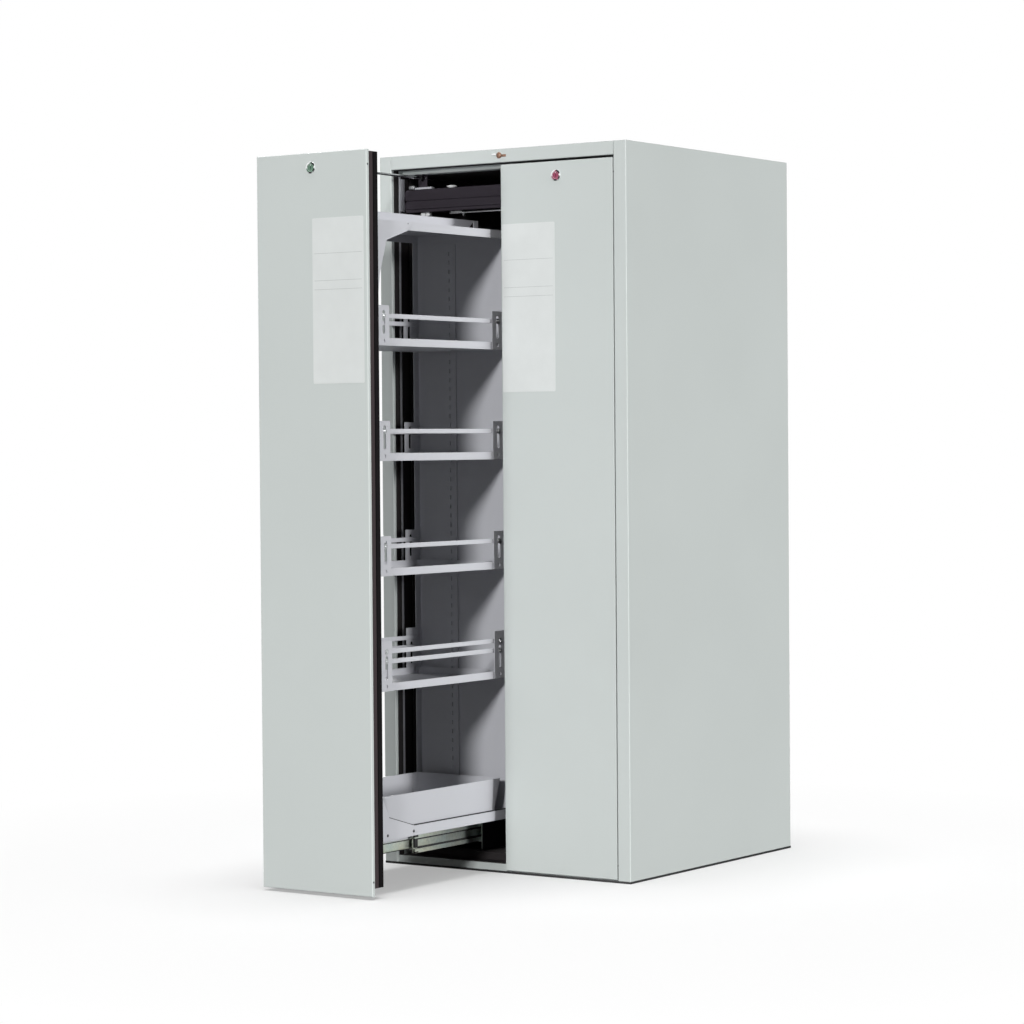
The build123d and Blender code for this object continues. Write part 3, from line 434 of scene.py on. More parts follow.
def moulded(tree, place, rgb, roughness, grain):
    """Moulded plastic, rubber or foil with a fine grain."""
    tone = effect(tree, uneven_tone, place, Colour=scaled(rgb), Amount=0.05, Size=0.05)
    peel = effect(tree, orange_peel, place, Grain=grain)
    return {
        "Base Color": tone["Colour"],
        "Roughness": noise_range(tree, tone["Shade"], roughness - 0.06, roughness + 0.06),
        "Normal": relief(tree, peel["Height"], 0.00005, 0.3, 0.0004),
    }


def lock_sign(tree, place, rgb, centre):
    """Turned metal face of a lock, with rings about the lock's axis."""
    out = vector_math(tree, "SUBTRACT", place, centre)["Vector"]
    inputs = {"W": vector_math(tree, "LENGTH", out)["Value"], "Scale": 2600.0}
    rings = shader_node(tree, "ShaderNodeTexNoise", inputs, noise_dimensions="1D").outputs["Fac"]
    return {
        "Base Color": blended(tree, rings, scaled(rgb, 0.7), scaled(rgb, 1.35)),
        "Metallic": 0.20,
        "Anisotropic": 0.5,
        "Tangent": vector_math(tree, "CROSS_PRODUCT", out, BACKWARD)["Vector"],
        "Roughness": noise_range(tree, rings, 0.56, 0.68),
    }


def tarnished(tree, place, rgb):
    """Blotchy tarnished metal."""
    tone = effect(tree, uneven_tone, place, Colour=scaled(rgb), Amount=0.5, Size=0.006)
    return {
        "Base Color": tone["Colour"],
        "Metallic": 0.4,
        "Roughness": noise_range(tree, tone["Shade"], 0.35, 0.60),
        "Normal": relief(tree, tone["Shade"], 0.0002, 0.3, 0.0005),
    }


# Maker of each finish, the names of its colours and its other values
FINISHES = {
    # cabinet paint: edges darkened to 0.62 as painted shade; frame paint: edges lightened to 1.15 as a
    # painted highlight
    "cabinet_paint": (powder_coat, "cabinet_paint", 0.0022, 0.48, 0.62, 1.0),
    "frame_paint": (powder_coat, "frame_paint", 0.0016, 0.40, 1.15, 0.10),
    "lining_board": (lining_board, "lining"),
    "fire_board": (fire_board, "fire_board"),
    "swelling_seal": (
        streaked, "seal", (1400.0, 1400.0, 5.0), (1.0, 2.2), (0.56, 0.74), 0.25, 0.0001, 0.0004
    ),
    "closer_paint": (
        streaked, "closer", (5.0, 900.0, 900.0), (0.72, 1.35), (0.40, 0.58), 0.2, 0.00008, 0.0010
    ),
    "zinc_steel": (zinc_steel, "zinc_pale", "zinc_yellow"),
    "rod_steel": (ground_steel, "steel", 1.0, (20.0, 2500.0, 20.0), 0.16),
    "lock_chrome": (ground_steel, "steel", 1.0, (300.0, 300.0, 300.0), 0.55),
    "screw_steel": (ground_steel, "steel", 1.0, (500.0, 500.0, 500.0), 0.26),
    "dark_screw": (ground_steel, "steel", 0.16, (500.0, 500.0, 500.0), 0.38),
    "foot_steel": (ground_steel, "steel", 0.62, (120.0, 120.0, 120.0), 0.42),
    "plate_foil": (moulded, "plate", 0.58, 0.0012),
    "plate_ink": (moulded, "plate_line", 0.58, 0.0012),
    "nylon": (moulded, "nylon", 0.40, 0.0010),
    "rubber": (moulded, "rubber", 0.55, 0.0009),
    "copper": (tarnished, "copper"),
}
FINISHES |= {
    f"edge_seal_{side}": (edge_seal, "edge_front", "edge_rear", middle_of(f"{side}_door_edge_seal"))
    for side in SIDES
}
FINISHES |= {
    f"lock_sign_{side}": (lock_sign, f"sign_{side}", middle_of(f"{side}_lock_housing")) for side in SIDES
}


def blank_tree(owner):
    """Emptied node tree of a material or a world."""
    owner.use_nodes = True
    owner.node_tree.nodes.clear()
    return owner.node_tree


def finish_named(name):
    """Finish by its name, made when it is first asked for."""
    title = FINISH_NAME.format(name)
    if title in bpy.data.materials:
        return bpy.data.materials[title]
    made = bpy.data.materials.new(title)
    tree = blank_tree(made)
    colours = bpy.context.scene.cabinet_finish
    maker, *values = FINISHES[name]
    values = [getattr(colours, value) if isinstance(value, str) else value for value in values]
    place = tree.nodes.new("ShaderNodeTexCoord").outputs["Object"]
    surface = shader_node(tree, "ShaderNodeBsdfPrincipled", maker(tree, place, *values))
    shader_node(tree, "ShaderNodeOutputMaterial", {"Surface": surface.outputs["BSDF"]})
    return made


# Outlines of turned pieces, as shares of their radius and height
PAN_HEAD = ((0, 0.45), (0.336, 0.45), (0.42, 0.95), (0.62, 1), (0.9, 0.72), (1, 0.3), (1, 0), (0, 0))
WASHER = ((0, 0), (1, 0), (1, 0.7), (0.958, 1), (0, 1))
COLLAR = ((0, 0), (1, 0), (1, 0.8), (0.85, 1), (0, 1))
DOME_ANGLES = (90, 70, 50, 30, 12)


def round_off(mesh, edges, radius, segments):
    """Edges rounded by a bevel."""
    bmesh.ops.bevel(
        mesh, geom=edges, offset=radius, offset_type="OFFSET", affect="EDGES", segments=segments,
        profile=0.5, material=-1, clamp_overlap=True,
    )


def block(mesh, place, edge, segments=2):
    """Unit cube put in place by a matrix, its edges rounded, added to a bmesh."""
    corners = bmesh.ops.create_cube(mesh, size=1.0, matrix=place)["verts"]
    if edge:
        round_off(mesh, list({line for corner in corners for line in corner.link_edges}), edge, segments)


def slab(mesh, low, high, edge=0.0, segments=2):
    """Box between two corners, its edges rounded, added to a bmesh."""
    low, high = Vector(map(min, low, high)), Vector(map(max, low, high))
    block(mesh, Matrix.LocRotScale((low + high) / 2, None, high - low), edge, segments)


def twin_slabs(mesh, middle, low, high, edge, segments=2):
    """The same box on both sides of an upright plane, from which its corners are counted in X."""
    for sign in SIDES.values():
        corners = ((middle + sign * x, y, z) for x, y, z in (low, high))
        slab(mesh, *corners, edge, segments)


def flanks(low, high):
    """X of a box's two sides, each with its way out."""
    return (low.x, -1), (high.x, 1)


def turned(mesh, profile, centre, axis, steps=24, closed=False):
    """Turned piece: points of (radius, height) spun once about an axis through a centre."""
    axis = Vector(axis).normalized()
    across = axis.orthogonal().normalized()
    points = [mesh.verts.new(Vector(centre) + across * radius + axis * height) for radius, height in profile]
    pairs = list(zip(points, points[1:]))
    if closed:
        pairs.append((points[-1], points[0]))
    lines = [mesh.edges.new(pair) for pair in pairs]
    bmesh.ops.spin(
        mesh, geom=points + lines, cent=centre, axis=axis, dvec=(0, 0, 0), angle=2 * math.pi, steps=steps,
        use_merge=True, use_duplicate=False,
    )


def sized(outline, radius, height):
    """Profile of an outline given in shares."""
    return [(across * radius, along * height) for across, along in outline]


def domed(radius, height):
    """Profile of a low dome, from its top to its rim."""
    steps = [math.radians(angle) for angle in DOME_ANGLES]
    rim = math.cos(steps[-1])
    dome = [(radius * math.cos(step) / rim, height * math.sin(step)) for step in steps]
    return dome + [(radius, 0), (0, 0)]


def new_object(name, data):
    """Object linked to the scene."""
    made = bpy.data.objects.new(name, data)
    bpy.context.scene.collection.objects.link(made)
    return made


def mesh_data(name, mesh, finish):
    """Mesh made from a bmesh, with its finish."""
    data = bpy.data.meshes.new(name)
    mesh.to_mesh(data)
    mesh.free()
    data.materials.append(finish)
    return data


def add_piece(name, mesh, finish, body):
    """Closes a bmesh, makes it an object with its finish and lets it ride on a body."""
    bmesh.ops.remove_doubles(mesh, verts=mesh.verts, dist=MERGE)
    bmesh.ops.recalc_face_normals(mesh, faces=mesh.faces)
    data = mesh_data(name, mesh, finish_named(finish))
    data.shade_smooth()
    data.set_sharp_from_angle(angle=SMOOTH_BELOW)
    piece = new_object(name, data)
    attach(piece, body)


class Step:
    """What the steps share: the sizes of the trim, and a run that builds and reports success."""

    @property
    def trim(self):
        """Sizes of the trim pieces."""
        return bpy.context.scene.cabinet_trim

    def execute(self, context):
        """Runs the step."""
        self.build()
        return {"FINISHED"}


class CABINET_OT_coat_nodes(Step, Operator):
    """Give every solid piece of the frame its finish"""

    bl_idname = "cabinet.coat_nodes"
    bl_label = "Coat the solids"

    def build(self):
        finishes = {part["node"]: part["material_slot"] for part in frame["record"]["subparts"]}
        # The plated floor channels take the dark closer finish as painted shade; their cut front edges keep
        # the plating (console_edges).
        finishes["slide_consoles"] = "closer_paint"
        for side in SIDES:
            finishes[f"{side}_door_edge_seal"] = f"edge_seal_{side}"
            finishes[f"{side}_lock_cylinder"] = f"lock_sign_{side}"
            finishes[f"{side}_head_channel"] = "frame_paint"
        for name, node in frame["nodes"].items():
            node.data.materials.clear()
            node.data.materials.append(finish_named(finishes[name]))


class CABINET_OT_blank_plates(Step, Operator):
    """Blank information plate on each door, with thin lines between its empty fields"""

    bl_idname = "cabinet.blank_plates"
    bl_label = "Blank plates"

    FIELD_ENDS = (0.215, 0.379, 0.433)
    CORNER_SEGMENTS = 5

    def build(self):
        trim = self.trim
        for side in SIDES:
            low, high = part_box(f"{side}_door_skin")
            meeting_x, away = (high.x, -1) if side == "left" else (low.x, 1)
            width, height = getattr(trim, f"{side}_plate")
            inset, drop = getattr(trim, f"{side}_plate_place")
            near = meeting_x + away * inset
            far = near + away * width
            top = high.z - drop
            face = low.y - trim.plate_thickness
            margin = away * trim.plate_margin
            self.plate(side, (near, face, top - height), (far, low.y, top))
            lines = bmesh.new()
            for field_end in self.FIELD_ENDS:
                level = top - field_end * height
                start = (near + margin, face - trim.plate_thickness / 8, level)
                slab(lines, start, (far - margin, face + trim.plate_thickness / 2, level + trim.plate_line))
            add_piece(f"{side}_plate_lines", lines, "plate_ink", f"{side}_pullout")

    def plate(self, side, low, high):
        """Thin plate with rounded corners."""
        mesh = bmesh.new()
        slab(mesh, low, high)
        upright = [line for line in mesh.edges if abs((line.verts[0].co - line.verts[1].co).y) > MERGE]
        round_off(mesh, upright, self.trim.plate_corner, self.CORNER_SEGMENTS)
        front = min(corner.co.y for corner in mesh.verts)
        rim = [line for line in mesh.edges if all(corner.co.y < front + MERGE for corner in line.verts)]
        round_off(mesh, rim, self.trim.plate_thickness / 3, 1)
        add_piece(f"{side}_plate", mesh, "plate_foil", f"{side}_pullout")


class CABINET_OT_lock_signs(Step, Operator):
    """Coloured sign round each lock, green if open and red if shut, with painted reflections round its rim
    and its key mark
    """

    bl_idname = "cabinet.lock_signs"
    bl_label = "Lock signs"

    MARK_RING = (0.0108, 0.0149)
    MARK_RISE = 0.0004
    # Finish of the painted reflections on the rim (white: painted highlights, black: painted dark
    # reflections), and where each starts and ends, in degrees from the right
    MARKS = {
        "white": ("nylon", ((98, 190), (-6, 14))),
        "black": ("rubber", ((24, 80), (-48, -16), (-112, -74))),
    }

    def build(self):
        inner, outer = self.trim.sign_ring
        rise = self.trim.sign_height
        ring = [(inner, 0), (inner, rise), (outer - rise / 2, rise), (outer, rise / 2), (outer, 0)]
        for side in SIDES:
            low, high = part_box(f"{side}_lock_housing")
            centre = Vector(((low.x + high.x) / 2, low.y, (low.z + high.z) / 2))
            mesh = bmesh.new()
            turned(mesh, ring, centre, FORWARD, steps=40, closed=True)
            add_piece(f"{side}_lock_sign", mesh, f"lock_sign_{side}", f"{side}_pullout")
            self.key_mark(side, centre)
            self.rim_marks(side, centre, rise + self.MARK_RISE)

    def rim_marks(self, side, centre, rise):
        """White and black segments round the rim of the sign: painted highlights and painted dark
        reflections of a polished rim.
        """
        inner, outer = self.MARK_RING
        section = ((inner, 0), (outer, 0), (outer - rise / 2, rise), (inner, rise))
        for name, (finish, arcs) in self.MARKS.items():
            mesh = bmesh.new()
            for start, end in arcs:
                turn = Matrix.Rotation(-math.radians(start), 4, "Y")
                corners = [centre + turn @ Vector((radius, -height, 0)) for radius, height in section]
                face = mesh.faces.new([mesh.verts.new(corner) for corner in corners])
                bmesh.ops.spin(
                    mesh, geom=[*face.verts, *face.edges, face], cent=centre, axis=FORWARD, dvec=(0, 0, 0),
                    angle=math.radians(end - start), steps=10, use_merge=False, use_duplicate=False,
                )
            add_piece(f"{side}_lock_{name}_marks", mesh, finish, f"{side}_pullout")

    def key_mark(self, side, centre):
        """White mark on the cylinder that turns with the key."""
        width, reach = self.trim.key_mark
        rise = self.trim.sign_height
        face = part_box(f"{side}_lock_cylinder")[0].y
        top = centre.z + self.trim.sign_ring[0] - reach / 2
        mesh = bmesh.new()
        start = (centre.x - width / 2, face - rise / 2, top - reach)
        slab(mesh, start, (centre.x + width / 2, face + rise / 2, top), rise / 4)
        add_piece(f"{side}_key_mark", mesh, "nylon", f"{side}_lock")


class CABINET_OT_fascia_plug(Step, Operator):
    """Fusible plug in the middle of the strip over the doors, with its pin and tab"""

    bl_idname = "cabinet.fascia_plug"
    bl_label = "Fascia plug"

    # In radii of the plug: its height, and the corners and rounding of its tab and pin
    RISE = 0.55
    TAB = ((0.8, -0.25, -0.55), (2.7, 0, 0.25), 0.1)
    PIN = ((-2.9, -0.3, 0.15), (-0.9, 0, 0.6), 0.12)

    def build(self):
        radius = self.trim.plug_radius
        across, drop = self.trim.plug_place
        centre = Vector((across, FACE_Y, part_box("top_fascia")[1].z - drop))
        plug_mesh, pin_mesh = bmesh.new(), bmesh.new()
        turned(plug_mesh, domed(radius, radius * self.RISE), centre, FORWARD, steps=28)
        for mesh, (low, high, edge) in ((plug_mesh, self.TAB), (pin_mesh, self.PIN)):
            slab(mesh, centre + radius * Vector(low), centre + radius * Vector(high), radius * edge)
        add_piece("fascia_plug", plug_mesh, "copper", "carcass")
        add_piece("fascia_plug_pin", pin_mesh, "nylon", "carcass")


class CABINET_OT_seal_strips(Step, Operator):
    """Pale strip between the two black seals on each jamb"""

    bl_idname = "cabinet.seal_strips"
    bl_label = "Seal strips"

    def build(self):
        rise = self.trim.seal_strip_rise
        start, end = (FACE_Y + depth for depth in self.trim.seal_strip)
        for side, sign in SIDES.items():
            mesh = bmesh.new()
            slab(mesh, (sign * (JAMB_X - rise), start, FLOOR_Z), (sign * JAMB_X, end, CEILING_Z), rise / 4)
            add_piece(f"{side}_seal_strip", mesh, "frame_paint", "carcass")


class CABINET_OT_slide_buffers(Step, Operator):
    """Black caps and stops of the middle slide rails, ball cages dark also as painted shade, painted shadow
    lines along the rail grooves, and console edges
    """

    bl_idname = "cabinet.slide_buffers"
    bl_label = "Slide buffers"

    LIP = 0.002
    STOP_ACROSS = (0.0452, 0.0506)
    STOP_SHARE = (0.28, 0.76)
    CAGE_ACROSS = (0.0450, 0.0495)
    CAGE_RISE = (0.0095, 0.0145)
    CAGE_SETBACK = (0.020, 0.010)
    GROOVE_RISE = 0.0006
    GROOVE_HEIGHT = 0.0022
    CONSOLE_SHEET = 0.002
    CONSOLE_EDGE = (0.0008, 0.0006)
    CONSOLE_BEND = 0.003

    def build(self):
        before, into = self.trim.buffer
        upper, lower = self.trim.buffer_cap
        for side in SIDES:
            low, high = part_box(f"{side}_middle_rails")
            middle = (low.x + high.x) / 2
            outer = high.x - middle
            near, far = self.STOP_ACROSS
            foot, head = (low.z + part * (high.z - low.z) for part in self.STOP_SHARE)
            caps = ((high.z - upper, high.z - self.LIP / 4), (low.z + self.LIP / 4, low.z + lower))
            mesh = bmesh.new()
            for bottom, top in caps:
                start = (outer - self.LIP * 2, low.y - before, bottom)
                end = (outer + self.trim.buffer_rise, low.y + into, top)
                twin_slabs(mesh, middle, start, end, self.LIP / 4)
            start = (near, low.y + before, foot)
            twin_slabs(mesh, middle, start, (far, low.y + into + before, head), self.LIP / 4)
            add_piece(f"{side}_slide_buffers", mesh, "rubber", f"{side}_middle_rails")
            self.cages(side, middle, low, high)
            self.grooves(side, middle)
        self.console_edges()

    def cages(self, side, middle, low, high):
        """Dark ball cages behind the lips of the middle rails, dark also as painted shade in the rails'
        hollows.
        """
        level = (low.z + high.z) / 2
        (near, far), (inner, outer) = self.CAGE_ACROSS, self.CAGE_RISE
        start, end = low.y + self.CAGE_SETBACK[0], high.y - self.CAGE_SETBACK[1]
        mesh = bmesh.new()
        for up in (-1, 1):
            corner = (near, start, level + up * inner)
            twin_slabs(mesh, middle, corner, (far, end, level + up * outer), self.LIP / 4)
        add_piece(f"{side}_ball_cages", mesh, "rubber", f"{side}_middle_rails")

    def console_edges(self):
        """Plated edges of the floor channels, where they are cut at the front."""
        low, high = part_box("slide_consoles")
        proud, into = self.CONSOLE_EDGE
        mesh = bmesh.new()
        for side in SIDES:
            middle = middle_of(f"{side}_middle_rails").x
            half = high.x - abs(middle)
            start = (half - self.CONSOLE_SHEET, low.y - proud, low.z + self.CONSOLE_BEND)
            twin_slabs(mesh, middle, start, (half, low.y + into, high.z), proud / 3)
        add_piece("console_edges", mesh, "zinc_steel", "carcass")

    def grooves(self, side, middle):
        """Dark strips along the edges of the inner rails: painted shadow lines in the ball grooves."""
        low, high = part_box(f"{side}_inner_rails")
        half, rise = high.x - middle, self.GROOVE_RISE
        mesh = bmesh.new()
        for edge, up in ((high.z, -1), (low.z, 1)):
            end = (half + rise, high.y, edge + up * self.GROOVE_HEIGHT)
            twin_slabs(mesh, middle, (half - rise, low.y, edge), end, rise / 3)
        add_piece(f"{side}_rail_grooves", mesh, "rubber", f"{side}_pullout")


class CABINET_OT_edgings(Step, Operator):
    """Black edging round the foot of the carcass and on the rims of the bottom carriers, painted shadow for
    the contact line under the carcass and for the gap between each sump tray and its carrier
    """

    bl_idname = "cabinet.edgings"
    bl_label = "Edgings"

    RIM_SETBACK = (0.160, 0.004)
    RIM_INTO = 0.0022
    ARM_EDGE = ((0.0515, 0.0590), (0.1565, 0.0290))
    ARM_SHEET = 0.002

    def build(self):
        proud, tall = self.trim.edging
        self.foot(proud)
        for side in SIDES:
            # black edging along each carrier rim: painted shadow of the gap between the sump tray and the
            # rim
            low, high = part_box(f"{side}_bottom_carrier")
            start, end = low.y + self.RIM_SETBACK[0], high.y - self.RIM_SETBACK[1]
            mesh = bmesh.new()
            for x, sign in flanks(low, high):
                near = (x - sign * self.RIM_INTO, start, high.z - tall)
                slab(mesh, near, (x + sign * proud, end, high.z + proud), proud / 2)
            self.arms(mesh, side, proud)
            add_piece(f"{side}_rim_edging", mesh, "rubber", f"{side}_pullout")

    def arms(self, mesh, side, proud):
        """Thin strips along the slanting edges of the upright's foot arms."""
        low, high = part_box(f"{side}_front_upright")
        start, end = (Vector((0, low.y + back, low.z + rise)) for back, rise in self.ARM_EDGE)
        run = end - start
        turn = Matrix.Rotation(math.atan2(run.z, run.y), 4, "X")
        size = Matrix.Diagonal((self.ARM_SHEET + 2 * proud, run.length, 3 * proud, 1))
        for x, sign in flanks(low, high):
            across = Vector((x - sign * self.ARM_SHEET / 2, 0, 0))
            block(mesh, Matrix.Translation((start + end) / 2 + across) @ turn @ size, proud / 3)

    def foot(self, proud):
        """Four black strips that close the gap between the carcass and the ground, standing in as painted
        shadow for the dark contact line under it.
        """
        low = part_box("side_panel_left")[0]
        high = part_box("side_panel_right")[1]
        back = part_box("back_panel")[1].y
        ground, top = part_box("levelling_feet")[0].z, low.z + 2 * proud
        mesh = bmesh.new()
        for x, sign in flanks(low, high):
            slab(mesh, (x - sign * proud, low.y, ground), (x + sign * proud, back, top), proud / 3)
        for y, sign in ((low.y, -1), (back, 1)):
            slab(mesh, (low.x, y - sign * proud, ground), (high.x, y + sign * proud, top), proud / 3)
        add_piece("foot_edging", mesh, "rubber", "carcass")


class CABINET_OT_frame_screws(Step, Operator):
    """Screws of the pull-outs: guard rails, arms of the upright, door edges and the upright's bolts"""

    bl_idname = "cabinet.frame_screws"
    bl_label = "Frame screws"

    RAIL_SETBACK = 0.024
    RAIL_RISE = 0.077
    EXTRA_RISE = 0.026
    BRACKET_SHEET = 0.002
    ARM_SCREWS = ((0.0445, 0.0125), (0.158, 0.0125))
    HEAD_SCREWS = ((0.1555, -0.005),)
    BOLT_LEVELS = (0.10, 0.29, 0.48, 0.67, 0.86)
    BOLT_SPREAD = 0.085
    DOOR_SCREW_INSET = 0.038
    DOOR_SCREW_DEPTH = 0.005
    WASHER_THICKNESS = 0.14
    # Radius and height of a screw's head, in radii of the usual screw
    RAIL_HEAD, ARM_HEAD, SMALL_HEAD, DOOR_HEAD = (1, 0.5), (1, 0.4), (0.45, 0.2), (0.7, 0.15)
    # Washer and nut of a bolt, in its radii
    BOLT_WASHER = ((0, 0), (1.3, 0), (1.3, 0.2), (0, 0.2))
    BOLT_NUT = ((0, 0.2), (1, 0.2), (1, 0.8), (0.86, 0.9), (0, 0.9))

    def build(self):
        for side in SIDES:
            self.rail_screws(side)
            self.arm_screws(side)
            self.upright_bolts(side)
            self.door_screws(side)

    def head(self, size):
        """Profile of a pan head."""
        return sized(PAN_HEAD, *(self.trim.screw_radius * part for part in size))

    def rail_screws(self, side):
        """Screw and washer at each end of each guard rail, on the outside of its bracket."""
        washer = self.trim.rail_washer
        thick = washer * self.WASHER_THICKNESS
        rim, head = sized(WASHER, washer, thick), self.head(self.RAIL_HEAD)
        mesh = bmesh.new()
        shelves = [f"{side}_shelf_{number}" for number in SHELVES]
        for name in shelves:
            low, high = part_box(name)
            levels = [low.z + self.RAIL_RISE]
            if name == shelves[-1]:
                levels.append(levels[0] + self.EXTRA_RISE)
            for x, sign in flanks(low, high):
                out = (sign, 0, 0)
                for y in (low.y + self.RAIL_SETBACK, high.y - self.RAIL_SETBACK):
                    for level in levels:
                        seat = x + sign * self.BRACKET_SHEET
                        turned(mesh, rim, (seat, y, level), out, steps=20)
                        turned(mesh, head, (seat + sign * thick, y, level), out, steps=16)
        add_piece(f"{side}_rail_screws", mesh, "screw_steel", f"{side}_pullout")

    def arm_screws(self, side):
        """Dark screws on the outside of the upright's foot arm and head arm."""
        low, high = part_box(f"{side}_front_upright")
        head, small = self.head(self.ARM_HEAD), self.head(self.SMALL_HEAD)
        mesh = bmesh.new()
        for x, sign in flanks(low, high):
            for setback, rise in self.ARM_SCREWS:
                turned(mesh, head, (x, low.y + setback, low.z + rise), (sign, 0, 0), steps=16)
            for setback, rise in self.HEAD_SCREWS:
                turned(mesh, small, (x, low.y + setback, high.z + rise), (sign, 0, 0), steps=12)
        add_piece(f"{side}_arm_screws", mesh, "dark_screw", f"{side}_pullout")

    def upright_bolts(self, side):
        """Hexagon bolts through the upright into the door."""
        low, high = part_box(f"{side}_front_upright")
        middle = (low.x + high.x) / 2
        radius = self.trim.bolt_radius
        washer, nut = (sized(outline, radius, radius) for outline in (self.BOLT_WASHER, self.BOLT_NUT))
        mesh = bmesh.new()
        for part in self.BOLT_LEVELS:
            level = low.z + part * (high.z - low.z)
            for sign in SIDES.values():
                seat = (middle + sign * self.BOLT_SPREAD, low.y + self.BRACKET_SHEET, level)
                turned(mesh, washer, seat, BACKWARD)
                turned(mesh, nut, seat, BACKWARD, steps=6)
        add_piece(f"{side}_upright_bolts", mesh, "screw_steel", f"{side}_pullout")

    def door_screws(self, side):
        """Small dark screws in the folded edges of the door's front sheet."""
        low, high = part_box(f"{side}_door_skin")
        head = self.head(self.DOOR_HEAD)
        mesh = bmesh.new()
        for x, sign in flanks(low, high):
            for level in (low.z + self.DOOR_SCREW_INSET, high.z - self.DOOR_SCREW_INSET):
                turned(mesh, head, (x, low.y + self.DOOR_SCREW_DEPTH, level), (sign, 0, 0), steps=14)
        add_piece(f"{side}_door_screws", mesh, "dark_screw", f"{side}_pullout")


class CABINET_OT_closer_fittings(Step, Operator):
    """Discs, clamps, mounts, guide blocks and the release link with its hooks on the closer housings"""

    bl_idname = "cabinet.closer_fittings"
    bl_label = "Closer fittings"

    # Outline of a disc, in shares of its radius and in metres of height
    DISC = (
        (0, 0.0085), (0.3, 0.0083), (0.34, 0.0075), (0.8, 0.0072), (1, 0.0058), (1, 0.0032), (0.7, 0.0022),
        (0.7, 0), (0, 0),
    )
    # Blocks on the upper housing: how far they are set back and the share of its depth at which they end
    BLOCK_SETBACK = 0.001
    BLOCK_END = 0.45
    CLAMP_X = (0.273, 0.330)
    CLAMP_RISE = 0.0055
    FOOT_X = (0.3315, 0.352)
    FOOT_RISE = 0.012
    MOUNT_Y = (0.036, 0.0598)
    MOUNT_Z = (0.003, 0.030)
    MOUNT_SHEET = 0.001
    SEAL_RISE = 0.0015
    # Cheeks and core of a guide block, in its sizes: place across, half width, half depth, height, rounding
    GUIDE_FORM = ((-0.28, 0.22, 0.5, 1.0, 0.08), (0.28, 0.22, 0.5, 1.0, 0.08), (0.0, 0.4, 0.4, 0.5, 0.05))
    LINK_DROP = 0.008
    LINK_HEIGHT = 0.004
    LINK_DEPTH = 0.008
    LUG_PLACES = (-0.9, 0.0, 0.9)
    LUG_DEPTH = 0.6
    HOOK_SETBACK = 1.1
    HOOK_SECTION = (1.2, 0.5)
    HOOK_RUN = 0.032
    HOOK_BEND = 0.008
    HOOK_TURN = math.radians(75)
    HOOK_TIP = 0.007
    TIP_LEAN = 0.26

    def build(self):
        self.discs()
        self.top_blocks("closer_clamps", "frame_paint", self.CLAMP_X, self.CLAMP_RISE, 0.2, 2)
        self.mounts()
        self.top_blocks("bracket_feet", "foot_steel", self.FOOT_X, self.FOOT_RISE, 0.3, 4)
        self.guides()
        self.link()

    def discs(self):
        """White release discs on the upper housing."""
        profile = sized(self.DISC, self.trim.disc_radius, 1)
        mesh = bmesh.new()
        for sign in SIDES.values():
            turned(mesh, profile, (sign * self.trim.disc_x, CLOSER_Y, CLOSER_HIGH.z), UP, steps=36)
        add_piece("closer_discs", mesh, "nylon", "carcass")

    def top_blocks(self, name, finish, across, rise, rounding, segments):
        """Pale clamp plates, or steel feet, on the upper housing beside the guide brackets."""
        start = (across[0], CLOSER_LOW.y + self.BLOCK_SETBACK, CLOSER_HIGH.z)
        end_y = CLOSER_LOW.y + (CLOSER_HIGH.y - CLOSER_LOW.y) * self.BLOCK_END
        mesh = bmesh.new()
        twin_slabs(mesh, 0, start, (across[1], end_y, CLOSER_HIGH.z + rise), rise * rounding, segments)
        add_piece(name, mesh, finish, "carcass")

    def mounts(self):
        """Pale plates on the jambs at the ends of the housings."""
        start, end = (FACE_Y + depth for depth in self.MOUNT_Y)
        face = JAMB_X - self.SEAL_RISE
        low = (face - self.MOUNT_SHEET, start, CLOSER_LOW.z + self.MOUNT_Z[0])
        mesh = bmesh.new()
        twin_slabs(mesh, 0, low, (face, end, CLOSER_HIGH.z + self.MOUNT_Z[1]), self.MOUNT_SHEET * 0.3)
        add_piece("closer_mounts", mesh, "frame_paint", "carcass")

    def guides(self):
        """White guide blocks under the lower housing, each with a groove."""
        width, depth, height = self.trim.guide_size
        mesh = bmesh.new()
        for place, half, deep, tall, rounding in self.GUIDE_FORM:
            x = self.trim.guide_x + place * width
            start = (x - half * width, CLOSER_Y - deep * depth, CLOSER_LOW.z - tall * height)
            end = (x + half * width, CLOSER_Y + deep * depth, CLOSER_LOW.z)
            twin_slabs(mesh, 0, start, end, height * rounding)
        add_piece("closer_guides", mesh, "nylon", "carcass")

    def link(self):
        """Flat steel link under the lower housing, hung on three lugs, with a bent hook near each end."""
        reach, half = self.trim.link_reach, self.LINK_DEPTH / 2
        low = CLOSER_LOW.z - self.LINK_DROP
        top = low + self.LINK_HEIGHT
        lug = half * self.LUG_DEPTH
        mesh = bmesh.new()
        end = (reach, CLOSER_Y + half, top)
        slab(mesh, (-reach, CLOSER_Y - half, low), end, self.LINK_HEIGHT * 0.2)
        for place in self.LUG_PLACES:
            x = reach * place
            start = (x - half, CLOSER_Y - lug, top - MERGE)
            slab(mesh, start, (x + half, CLOSER_Y + lug, CLOSER_LOW.z), self.LINK_HEIGHT * 0.1)
        for sign in SIDES.values():
            start = (sign * self.trim.hook_x, CLOSER_Y - self.LINK_DEPTH * self.HOOK_SETBACK, top)
            self.hook(mesh, sign, Vector(start))
        add_piece("release_link", mesh, "screw_steel", "carcass")

